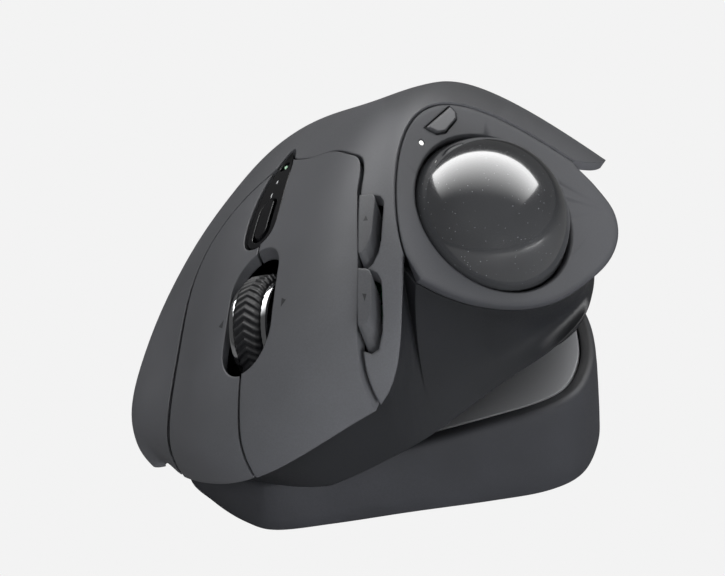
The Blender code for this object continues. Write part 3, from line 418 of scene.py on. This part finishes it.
# --- Status strip -------------------------------------------------------------------------
# A drop-shaped insert of polished black ABS between the buttons, with a rocker key, two
# printed marks and a small green light under its tip.
PILL = slot_outline(8.9, 1.6, 1.9, 5.0)
LAMP_HOLE = slot_outline(8.7, -13.6, 0.9, 1.0, 8)
piano_black = moulded_plastic("polished_black_ABS", "#0d0d0f", "#121214", 0.12, 0.8, 0.002, 0.25)
pale_ink = moulded_plastic("pale_printed_ink", "#c9cacc", "#dddee0", 0.5, 0.3, 0.005, 0.05)
strip = from_cover("status_insert", STRIP, [PILL, LAMP_HOLE], piano_black, 0.25)
place(strip, "mouse_body", "gloss_black", "status_strip")
rocker = from_cover("mode_rocker", PILL, [], piano_black, -0.1)
place(rocker, "mode_button", "gloss_black", "mode_button")
printed("mark_one", slot_outline(9.2, -5.0, 0.25, 0.95, 4), -0.25, pale_ink, "mouse_body", "gloss_black")
printed("mark_two", slot_outline(9.0, -8.8, 0.25, 0.8, 4), -0.25, pale_ink, "mouse_body", "gloss_black")


def lit_diffuser(name, tint, strength):
    """Milky polycarbonate lamp cover, clouded between its tint and white, glowing evenly in its tint."""
    m = bpy.data.materials.new(name)
    m.use_nodes = True
    t = m.node_tree
    shader = t.nodes["Principled BSDF"]
    where = add_node(t, "ShaderNodeTexCoord").outputs["Object"]
    cloud = add_node(t, "ShaderNodeTexNoise", {"Vector": where, "Scale": 1 / (0.8 * MM)})
    tone = add_node(t, "ShaderNodeMixRGB", {"Fac": cloud.outputs["Fac"], "Color1": linear(tint),
                                            "Color2": linear("#ffffff")})
    t.links.new(tone.outputs[0], shader.inputs["Base Color"])
    shader.inputs["Emission Color"].default_value = linear(tint)
    shader.inputs["Emission Strength"].default_value = strength
    shader.inputs["Roughness"].default_value = 0.35
    return m


def finish_node(node, material, edge=0.12):
    """A CAD solid whose shape is right: edges broken and its real finish put on."""
    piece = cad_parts[node]
    piece.data.materials.clear()
    piece.data.materials.append(material)
    weld = piece.modifiers.new("weld", "WELD")
    weld.merge_threshold = 1e-6
    bevel = piece.modifiers.new("edge", "BEVEL")
    bevel.width, bevel.segments, bevel.limit_method = edge * MM, 2, "ANGLE"
    bevel.angle_limit = math.radians(32)


finish_node("status_light", lit_diffuser("green_lamp", "#3fae62", 0.25), 0.05)


# --- Thumb panel and pointer-speed key ------------------------------------------------------
# A flat ABS panel, finer in texture than the cover, snapped in against the ridge. The ball
# stands out of its flared hole; a small key and a white lamp sit at its upper front corner.
GAP = 0.3            # fitting gap between the shells
POD_RIM = [(-24.9, 0.6), (-22.3, -5.0), (-18.3, -10.6), (-12.0, -16.4), (-4.0, -20.6), (5.0, -22.4),
           (13.0, -22.6), (19.2, -20.6), (23.2, -16.4), (24.4, -10.4), (24.4, -5.0)]
# The panel's tones are a step darker than the cover's. That darkness is painted shade for the face turned
# away from the light. Its finer grain and lower sheen are its own.
panel_plastic_painted_shade = moulded_plastic("fine_matt_ABS_with_painted_shade", "#333437", "#393a3e", 0.52, 0.3, 0.012, 0.5, specular=0.3)
edge_run = np.linspace(0.02, 0.95, 600)
on_plane = np.abs((trimmed(edge_run, np.zeros(600)) - on_panel(0, 0)) @ BALL_AXIS) < 0.02
U_FRONT, U_REAR = edge_run[on_plane][0], edge_run[on_plane][-1]


def lathe(profile, centre, axis, n):
    """Turned piece from (along, radius) points; a radius of 0 closes an end."""
    a = np.asarray(axis, float) / np.linalg.norm(axis)
    side = np.array([0, 0, 1.0]) if abs(a[2]) < 0.9 else np.array([1.0, 0, 0])
    u = np.cross(side, a)
    u = u / np.linalg.norm(u)
    v = np.cross(a, u)
    turn = np.linspace(0, 2 * math.pi, n, endpoint=False)
    round_ = np.outer(np.cos(turn), u) + np.outer(np.sin(turn), v)
    loops = [np.asarray(centre) + a * along + round_ * max(r, 1e-5) for along, r in profile]
    open_tube = profile[0][1] > 0 and profile[-1][1] > 0
    return rings(loops + [loops[0]] if open_tube else loops, cap=False)


def panel_ring(n):
    """The panel's border, along the cover's edge and round the pod, and the way down at each point."""
    us = np.linspace(U_REAR, U_FRONT, n)
    edge = np.interp(us, EDGE_U, EDGE_V)
    ring, down = [], []
    for p, nrm in zip(upper(us, edge), surface_normal(us, edge)):
        inward = on_panel(0, 0) - p
        ring.append(p + inward / np.linalg.norm(inward) * GAP * 1.3)
        down.append(-nrm / max(nrm @ BALL_AXIS, 0.5))
    low = curve([on_panel(*q) for q in POD_RIM], 8)
    ring = np.concatenate([ring, low])
    ring = ring - ((ring - on_panel(0, 0)) @ BALL_AXIS)[:, None] * BALL_AXIS
    return ring, np.concatenate([down, np.tile(-BALL_AXIS, (len(low), 1))])


ring, down = panel_ring(60)
middle = on_panel(0, 0)
toward = middle - ring
toward = toward / np.linalg.norm(toward, axis=1)[:, None]
panel = solid("thumb_panel", *rings([ring + toward * 1.3, ring + toward * 0.45,
                                     ring + toward * 0.13 + down * 0.12, ring + down * 0.45,
                                     ring + down * 1.6]), panel_plastic_painted_shade)
SPEED_KEY = np.array([(2.4, 21.2), (10.6, 21.2), (10.6, 19.6), (9.6, 18.6), (5.2, 18.1), (3.4, 19.0)])


def key_block(outline, heights):
    """Stacked copies of an outline on the panel, from (height, inset) pairs."""
    return rings([[on_panel(p, q, h) for p, q in inset(outline, d)] for h, d in heights])


cut(panel, [
    solid("tool", *lathe([(-6, 0), (-6, 16.95), (-0.9, 16.95), (-0.35, 17.1), (0, 17.5), (0.6, 18.4),
                          (0.6, 0)], middle, BALL_AXIS, 128)),
    solid("tool", *key_block(SPEED_KEY, ((-6, -GAP), (4, -GAP)))),
    solid("tool", *lathe([(-4, 0), (-4, 0.62), (4, 0.62), (4, 0)], on_panel(-1.0, 19.6), BALL_AXIS, 24))])
place(panel, "mouse_body", "panel_shell", "ball_panel")
speed = solid("speed_key", *key_block(SPEED_KEY, ((-1.8, 0), (0.3, 0), (0.6, 0.3))), key_plastic)
place(speed, "precision_button", "key_shell", "precision_button")
lens = solid("speed_lamp_lens", *lathe([(-1.7, 0), (-1.7, 0.5), (-0.1, 0.5), (0.05, 0.3), (0.1, 0)],
                                       on_panel(-1.0, 19.6), BALL_AXIS, 24),
             lit_diffuser("white_lamp", "#f4f4ef", 0.6))
place(lens, "mouse_body", "lamp_white", "precision_light")


# --- Trackball ------------------------------------------------------------------------------
# A 34 mm ball of solid cast resin, dark grey with pale mineral flecks for the sensor to
# follow, ground round and polished. It rests on three small bearings.
def flecked_resin():
    """Clouded dark resin. The flecks are under 0.1 mm and are drawn at up to 0.2 mm so that they show."""
    m = bpy.data.materials.new("cast_resin_with_flecks")
    m.use_nodes = True
    t = m.node_tree
    shader = t.nodes["Principled BSDF"]
    where = add_node(t, "ShaderNodeTexCoord").outputs["Object"]
    cells = add_node(t, "ShaderNodeTexVoronoi", {"Vector": where, "Scale": 1 / (0.6 * MM)})
    pick = add_node(t, "ShaderNodeSeparateColor", {"Color": cells.outputs["Color"]})
    size = add_node(t, "ShaderNodeMapRange", {"Value": pick.outputs[0], "From Min": 0.55, "From Max": 1.0,
                                              "To Min": 0.0, "To Max": 0.17})
    fleck = add_node(t, "ShaderNodeMath", {0: cells.outputs["Distance"], 1: size.outputs["Result"]},
                     operation="LESS_THAN")
    cloud = add_node(t, "ShaderNodeTexNoise", {"Vector": where, "Scale": 1 / (9 * MM), "Detail": 4.0})
    body = add_node(t, "ShaderNodeMixRGB", {"Fac": cloud.outputs["Fac"], "Color1": linear("#27282a"),
                                            "Color2": linear("#38393b")})
    tone = add_node(t, "ShaderNodeMixRGB", {"Fac": fleck.outputs[0], "Color1": body.outputs[0],
                                            "Color2": linear("#707275")})
    t.links.new(tone.outputs[0], shader.inputs["Base Color"])
    shader.inputs["Roughness"].default_value = 0.16
    shader.inputs["Specular IOR Level"].default_value = 0.8
    shader.inputs["Coat Weight"].default_value = 1.0
    shader.inputs["Coat Roughness"].default_value = 0.05
    return m


arc = np.linspace(0, math.pi, 73)
ball = solid("ball", *lathe([(-17 * math.cos(a), 17 * math.sin(a)) for a in arc], BALL, BALL_AXIS, 128),
             flecked_resin())
place(ball, "trackball", "ball_resin", "trackball")


# --- Lower tub --------------------------------------------------------------------------------
# The dark ABS tub that carries everything. Its thumb side hollows in under the ball pod, and
# its floor is two facets that rock on the base plate.
tub_plastic = moulded_plastic("dark_satin_ABS", "#18191b", "#1e1f22", 0.42, 0.4, 0.012, 0.35)
FOOT = [(8, 33), (-4, 31.5), (-14, 28), (-22, 23.5), (-33, 12.5), (-43, 4.5), (-47.4, -4), (-47.2, -14),
        (-44.6, -26), (-39.5, -42), (-31, -58), (-19, -71), (-4, -78.5), (12, -77), (23.4, -69.5),
        (30.4, -58), (34.6, -46), (37, -28), (38.4, -8), (38.2, 8), (34.5, 20), (23, 29.5)]
FOOT_CURVE = curve(FOOT, 48, closed=True)
FINE = 4


def foot_run(a, b, n):
    """n points of the underside's outline, from its point a to its point b."""
    at = np.linspace(a * 48, b * 48, n, endpoint=False)
    return FOOT_CURVE[np.round(at).astype(int) % len(FOOT_CURVE)]


def tub_runs():
    """Rim points, the foot points under them, and how far each wall hollows."""
    under = SHELL + GAP + 0.5
    low = curve([on_panel(*q) for q in POD_RIM], 2 * FINE) - BALL_AXIS * (1.6 + GAP)
    t = np.linspace(0.5, 0.02, 6 * FINE, endpoint=False)
    yield trimmed(np.full(len(t), 0.035), t, under), foot_run(0, 2.1, len(t)), np.zeros(len(t))
    us = np.linspace(0.03, U_FRONT, 6 * FINE, endpoint=False)
    yield trimmed(us, np.full(len(us), 0.012), under), foot_run(2.1, 3.0, len(us)), np.full(len(us), 0.05)
    k = np.arange(len(low)) / FINE
    yield low, foot_run(3.0, 8.0, len(low)), np.minimum(1.0, 0.35 + 0.13 * k)
    us = np.linspace(U_REAR, 0.99, 12 * FINE)
    sunk = np.linspace(0, 1, len(us)) ** 2
    fade = [0.8, 0.6, 0.45, 0.3, 0.2, 0.1, 0.1, 0.05, 0.0, 0.0, 0.0, 0.0]
    yield (trimmed(us, 0.025 + 0.04 * sunk, under) - np.outer(sunk, (0, 0, 1.6)),
           foot_run(8.1, 12.4, len(us)), np.interp(np.linspace(0, 11, len(us)), range(12), fade))
    t = np.linspace(0.16, 0.9, 6 * FINE)
    yield (trimmed(np.full(len(t), 0.97), t, under) - (0, 0, 0.8), foot_run(12.6, 15.0, len(t)),
           np.zeros(len(t)))
    us = np.linspace(0.93, 0.06, 12 * FINE)
    yield trimmed(us, np.full(len(us), 0.92), under + 0.3), foot_run(15.0, 20.4, len(us)), np.zeros(len(us))
    t = np.linspace(0.86, 0.58, 4 * FINE)
    yield trimmed(np.full(len(t), 0.035), t, under), foot_run(20.6, 22.0, len(t)), np.zeros(len(t))


rim, base, hollow = (np.concatenate(part) for part in zip(*tub_runs()))
foot = np.c_[base, [floor_z(x) for x in base[:, 0]]]
bend = (rim + foot) / 2 + (rim - BALL_AXIS * 13 - (rim + foot) / 2) * hollow[:, None]
loops = [(1 - s) ** 2 * rim + 2 * s * (1 - s) * bend + s * s * foot for s in np.linspace(0, 1, 17)]
verts, faces = rings(loops, cap=False)
spine = [Vector((HINGE[0] + dx, y)) for dx in (-0.5, 0.5) for y in np.linspace(-74, 34, 7)]
links = [(i, (i + 1) % len(base)) for i in range(len(base))]
links += [(len(base) + k + s, len(base) + k + s + 1) for s in (0, 7) for k in range(6)]
flat, _, tiles, _, _, _ = delaunay_2d_cdt([Vector(p) for p in base] + spine, links, [], 1, 1e-5)
faces += [tuple(len(verts) + i for i in f) for f in tiles]
tub = solid("lower_tub", np.concatenate([verts, [(p.x, p.y, floor_z(p.x)) for p in flat]]), faces,
            tub_plastic)
wall = tub.modifiers.new("wall", "SOLIDIFY")
wall.thickness, wall.offset = 1.8 * MM, -1
tub.data = bpy.data.meshes.new_from_object(tub.evaluated_get(bpy.context.evaluated_depsgraph_get()))
tub.modifiers.clear()


def facet_normal(x):
    """Straight out of the underside at x."""
    n = np.array([WEDGE * (-1 if x < HINGE[0] else 0.765), 0, -1.0])
    return n / np.linalg.norm(n)


def box(centre, size):
    """Plain block, for cutting."""
    c, s = np.asarray(centre, float), np.asarray(size, float) / 2
    return rings([[c + s * (x, y, z) for x, y in ((-1, -1), (1, -1), (1, 1), (-1, 1))] for z in (-1, 1)])


POWER = np.array([-20.0, -36.0, floor_z(-20.0)])
SCREWS = [(30.0, 6.0), (26.0, -48.0), (-18.0, -54.0), (-17.0, 14.0)]
BALL_EJECT = (-30, -5, 8)
CHARGING_MOUTH = (19, 32.6, 10.8)
holes = [lathe([(-6, 0), (-6, 4.5), (6, 4.5), (6, 0)], BALL_EJECT, (0, 0, 1), 48),
         box(CHARGING_MOUTH, (9.4, 16, 4)), box(POWER, (4.6, 8.4, 8))]
holes += [lathe([(-4, 0), (-4, 2.3), (4, 2.3), (4, 0)], (x, y, floor_z(x)), facet_normal(x), 32)
          for x, y in SCREWS]
holes += [box((HINGE[0], y, 4), (5.0, 14.4, 6)) for y in (16.0, -60.0)]
cut(tub, [solid("tool", *h) for h in holes])
place(tub, "mouse_body", "dark_shell", "lower_housing")


# --- Wedge base -------------------------------------------------------------------------------
# A heavy moulded rubber wedge, drafted so that its skirt leans in, with a rounded top rim. A
# satin steel plate is pressed into it, and two hinge lugs stand on the plate.
wedge_rubber = moulded_plastic("moulded_rubber", "#27282b", "#2f3034", 0.55, 0.45, 0.02, 0.4)
BASE = [(34.5, 23.4), (26.5, 29.7), (18, 33.6), (11, 34.0), (0, 28.2), (-13.6, 20.0), (-27.8, 11.8),
        (-38.2, 5.0), (-43.6, -2.0), (-44.8, -11), (-43.0, -22), (-36.8, -37), (-25.4, -50.4), (-9, -57.5),
        (10, -57), (26, -48), (36, -32), (39.4, -12), (38.6, 8)]
BASE_CURVE = curve(BASE, 10, closed=True)


def base_loop(d, share, drop):
    """The base's outline moved in by d, at a share of the wedge's height less a drop."""
    o = inset(BASE_CURVE, d)
    return np.c_[o, (13.5 - WEDGE * o[:, 0]) * share - drop]


# Rounded foot, drafted skirt, rounded top rim: how far in, share of the height, and drop below it.
SKIRT = [(1.2, 0, 0), (0.6, 0, -0.25), (0.15, 0, -0.7), (0, 0, -1.2), (0.4, 0.28, 0), (1.0, 0.55, 0),
         (1.5, 0.78, 0.4), (2.0, 1, 1.6), (2.2, 1, 1.05), (2.5, 1, 0.65), (3.0, 1, 0.3), (3.6, 1, 0.15)]
wedge = solid("rubber_wedge", *rings([base_loop(*row) for row in SKIRT]), wedge_rubber, mouse=False)
pocket = base_loop(5.2, 1, 2.3)
cut(wedge, [solid("tool", *rings([pocket, pocket + (0, 0, 30)]), mouse=False)])
place(wedge, "base", "wedge_rubber", "base_block", sharp=50)


def metal(name, tone, rough, grain, relief, metallic=1.0):
    """Bare metal, with fine marks left by finishing it."""
    m = bpy.data.materials.new(name)
    m.use_nodes = True
    t = m.node_tree
    shader = t.nodes["Principled BSDF"]
    where = add_node(t, "ShaderNodeTexCoord").outputs["Object"]
    marks = add_node(t, "ShaderNodeTexNoise", {"Vector": where, "Scale": 1 / (grain * MM), "Detail": 3.0})
    shade = add_node(t, "ShaderNodeMapRange", {"Value": marks.outputs["Fac"], "To Min": rough - 0.06,
                                               "To Max": rough + 0.06})
    t.links.new(shade.outputs["Result"], shader.inputs["Roughness"])
    shader.inputs["Base Color"].default_value = linear(tone)
    shader.inputs["Metallic"].default_value = metallic
    bump = add_node(t, "ShaderNodeBump", {"Strength": 0.4, "Distance": relief * MM,
                                          "Height": marks.outputs["Fac"]})
    t.links.new(bump.outputs["Normal"], shader.inputs["Normal"])
    return m


# Bead-blasted steel: the blast marks are about 0.15 mm and are drawn at 0.4 mm. It scatters light so
# widely that it reads half like a matt coat.
blasted_steel = metal("bead_blasted_steel", "#a4a5a8", 0.55, 0.4, 0.006, metallic=0.55)
polished_metal = metal("polished_chrome", "#c8c9cb", 0.12, 1.5, 0.001)
plate = solid("steel_plate", *rings([base_loop(5.5, 1, 2.0), base_loop(5.5, 1, 0.45),
                                     base_loop(5.7, 1, 0.12), base_loop(6.1, 1, 0)]),
              blasted_steel, mouse=False)
place(plate, "base", "satin_steel", "base_plate")
for name in ("hinge_lug_front", "hinge_lug_rear"):
    finish_node(name, blasted_steel)


# --- Scroll wheel -------------------------------------------------------------------------------
# A moulded rubber tyre with a chevron tread, stretched over a polished metal hub whose dished
# flange shows on the thumb side. It turns on a steel axle in a cradle that rocks sideways.
WHEEL = np.array([7.2, 18.1, 31.2])
TREADS = 44
tyre_rubber = moulded_plastic("tyre_rubber", "#0e0e10", "#17181a", 0.5, 0.3, 0.01, 0.08)


def treaded_tyre():
    """Tyre with rounded shoulders and square-cut chevron grooves."""
    turn = np.linspace(0, 2 * math.pi, TREADS * 16, endpoint=False)
    crown = [(w, 11.8 - 0.9 * max(0, abs(w) - 2.1) / 0.8) for w in np.linspace(-2.9, 2.9, 25)]
    section = [(-2.9, 9.25)] + crown + [(2.9, 9.25)]
    loops = []
    for k, (w, r) in enumerate(section):
        wave = np.sin(TREADS * (turn + abs(w) * 0.055))
        groove = 0.0 if k in (0, len(section) - 1) else 0.38
        radius = r - groove * (0.5 - 0.5 * np.tanh(wave * 2.5))
        loops.append(np.c_[np.full(len(turn), w), radius * np.cos(turn), radius * np.sin(turn)] + WHEEL)
    return rings(loops + [loops[0]], cap=False)


place(solid("wheel_tread", *treaded_tyre(), tyre_rubber), "scroll_wheel", "tyre_rubber", "wheel_tyre",
      sharp=60)
HUB = [(-4.3, 1.3), (-3.5, 5.0), (-3.6, 8.6), (-4.3, 9.4), (-4.3, 9.9), (-4.05, 10.3), (-3.8, 10.4),
       (-3.1, 10.4), (-3.1, 9.0), (3.1, 9.0), (3.1, 10.4), (3.8, 10.4), (4.05, 10.3), (4.3, 9.9),
       (4.3, 9.4), (3.6, 8.6), (3.5, 5.0), (4.3, 1.3)]
place(solid("bright_hub", *lathe(HUB, WHEEL, (1, 0, 0), 128), polished_metal), "scroll_wheel",
      "bright_metal", "wheel_hub")
finish_node("wheel_axle", polished_metal)
finish_node("cradle_pin", polished_metal)
for name in ("wheel_cradle", "cradle_stand"):
    finish_node(name, tub_plastic)


# --- Parts inside and underneath -----------------------------------------------------------------
# Switches on their posts, the boards, battery, sensor and ball socket, screwed or clipped into
# the tub. Little of them shows except round the ball and through the floor.
switch_case = moulded_plastic("glass_filled_nylon", "#151517", "#1e1f21", 0.4, 0.5, 0.01, 0.1)
lacquered_board = moulded_plastic("lacquered_glass_epoxy", "#12402a", "#1b5236", 0.3, 1.2, 0.004, 0.05)
battery_wrap = metal("battery_can", "#8d8f94", 0.35, 2.0, 0.002)
dark_nickel = metal("black_nickel_plate", "#2a2a2c", 0.4, 1.0, 0.001)
red_lens = moulded_plastic("red_acrylic", "#4a1010", "#5c1616", 0.08, 1.0, 0.001, 0.05)
FINISHES = {
    tub_plastic: ("ball_socket", "hinge_bearing_front", "hinge_bearing_rear", "left_switch_post",
                  "right_switch_post"),
    switch_case: ("left_switch", "right_switch", "forward_switch", "back_switch", "mode_switch",
                  "precision_switch", "wheel_encoder", "power_switch"),
    polished_metal: ("bearing_ball_1", "bearing_ball_2", "bearing_ball_3"),
    dark_nickel: ("charging_socket",),
    blasted_steel: ("flat_magnet", "raised_magnet", "case_screw_1", "case_screw_2", "case_screw_3",
                    "case_screw_4"),
    lacquered_board: ("main_board", "sensor_board"),
    battery_wrap: ("battery",),
    red_lens: ("sensor_lens",),
}
for material, names in FINISHES.items():
    for name in names:
        finish_node(name, material, 0.08)


# --- Studio ---------------------------------------------------------------------------------------
# A pale sweep, a soft box overhead, a wider one that shows only as a sheen fading to the front,
# and three fills: front, thumb side and the base's edge. The camera stands above the fingertips.
PAPER = linear("#f3f3f3")


def backdrop_shader(tree, seen, lit):
    """Paper-white to the camera, and only as bright as the room where it lights the object."""
    ray = add_node(tree, "ShaderNodeLightPath").outputs["Is Camera Ray"]
    return add_node(tree, "ShaderNodeMixShader", {"Fac": ray, 1: lit, 2: seen}).outputs[0]


world = bpy.data.worlds.new("room")
bpy.context.scene.world = world
world.use_nodes = True
tree = world.node_tree
tree.nodes.clear()
seen = add_node(tree, "ShaderNodeBackground", {"Color": PAPER, "Strength": 1.0}).outputs[0]
lit = add_node(tree, "ShaderNodeBackground", {"Color": linear("#ffffff"), "Strength": 0.10}).outputs[0]
out = add_node(tree, "ShaderNodeOutputWorld", {"Surface": backdrop_shader(tree, seen, lit)})

paper = bpy.data.materials.new("paper_sweep")
paper.use_nodes = True
tree = paper.node_tree
tree.nodes.clear()
seen = add_node(tree, "ShaderNodeEmission", {"Color": PAPER, "Strength": 1.0}).outputs[0]
lit = add_node(tree, "ShaderNodeBsdfDiffuse", {"Color": linear("#7c7c7c")}).outputs[0]
add_node(tree, "ShaderNodeOutputMaterial", {"Surface": backdrop_shader(tree, seen, lit)})
floor = solid("floor", [(-3000, -3000, -0.02), (3000, -3000, -0.02), (3000, 3000, -0.02),
                        (-3000, 3000, -0.02)], [(0, 1, 2, 3)], paper, mouse=False)


def soft_box(name, at, aim, size, power, diffuse=True, mirrored=False, fade=None):
    """A soft box; one that only lights evenly isn't mirrored, and one can fade to its front edge."""
    data = bpy.data.lights.new(name, "AREA")
    data.shape, data.size, data.size_y, data.energy = "RECTANGLE", size[0], size[1], power
    lamp = bpy.data.objects.new(name, data)
    bpy.context.scene.collection.objects.link(lamp)
    lamp.location = at
    lamp.visible_diffuse, lamp.visible_glossy = diffuse, mirrored
    lamp.rotation_euler = (Vector(aim) - Vector(at)).to_track_quat("-Z", "Y").to_euler()
    if fade:
        data.use_nodes = True
        tree = data.node_tree
        across = add_node(tree, "ShaderNodeNewGeometry").outputs["Parametric"]
        along = add_node(tree, "ShaderNodeSeparateXYZ", {"Vector": across}).outputs["Y"]
        level = add_node(tree, "ShaderNodeMapRange", {"Value": along, "To Min": fade[0], "To Max": fade[1]},
                         interpolation_type="SMOOTHSTEP")
        tree.links.new(level.outputs["Result"], tree.nodes["Emission"].inputs["Strength"])


AIM = (0, 0, 0.04)
soft_box("overhead", (0.14, 0.02, 0.55), AIM, (0.6, 0.45), 1.8)
soft_box("overhead_sheen", (0.02, -0.12, 0.50), AIM, (1.3, 0.7), 12.0, diffuse=False, mirrored=True,
         fade=(1.5, 0.0))
soft_box("front_fill", (0.12, 0.70, 0.42), AIM, (0.6, 0.4), 3.8)
soft_box("thumb_fill", (-0.30, 0.30, 0.06), (-0.03, 0, 0.02), (0.24, 0.2), 1.2)
soft_box("base_edge", (-0.40, 0.06, 0.02), (-0.04, 0, 0.015), (0.2, 0.06), 1.6)

AIM_HEIGHT, DISTANCE = 0.030, 0.4152
azimuth, elevation = math.radians(18), math.radians(35)
away = np.array([-math.sin(azimuth) * math.cos(elevation), math.cos(azimuth) * math.cos(elevation),
                 math.sin(elevation)])
right = np.array([-math.cos(azimuth), -math.sin(azimuth), 0])
up = np.cross(away, right)
data = bpy.data.cameras.new("camera")
data.lens, data.sensor_width, data.shift_x, data.shift_y = 100, 36, -0.0241, 0.0579
camera = bpy.data.objects.new("camera", data)
bpy.context.scene.collection.objects.link(camera)
turn = Matrix(np.c_[right, up, away].tolist()).to_4x4()
camera.matrix_world = Matrix.Translation(Vector((0, 0, AIM_HEIGHT)) + Vector(away) * DISTANCE) @ turn
bpy.context.scene.camera = camera
bpy.context.scene.view_settings.view_transform = "Standard"
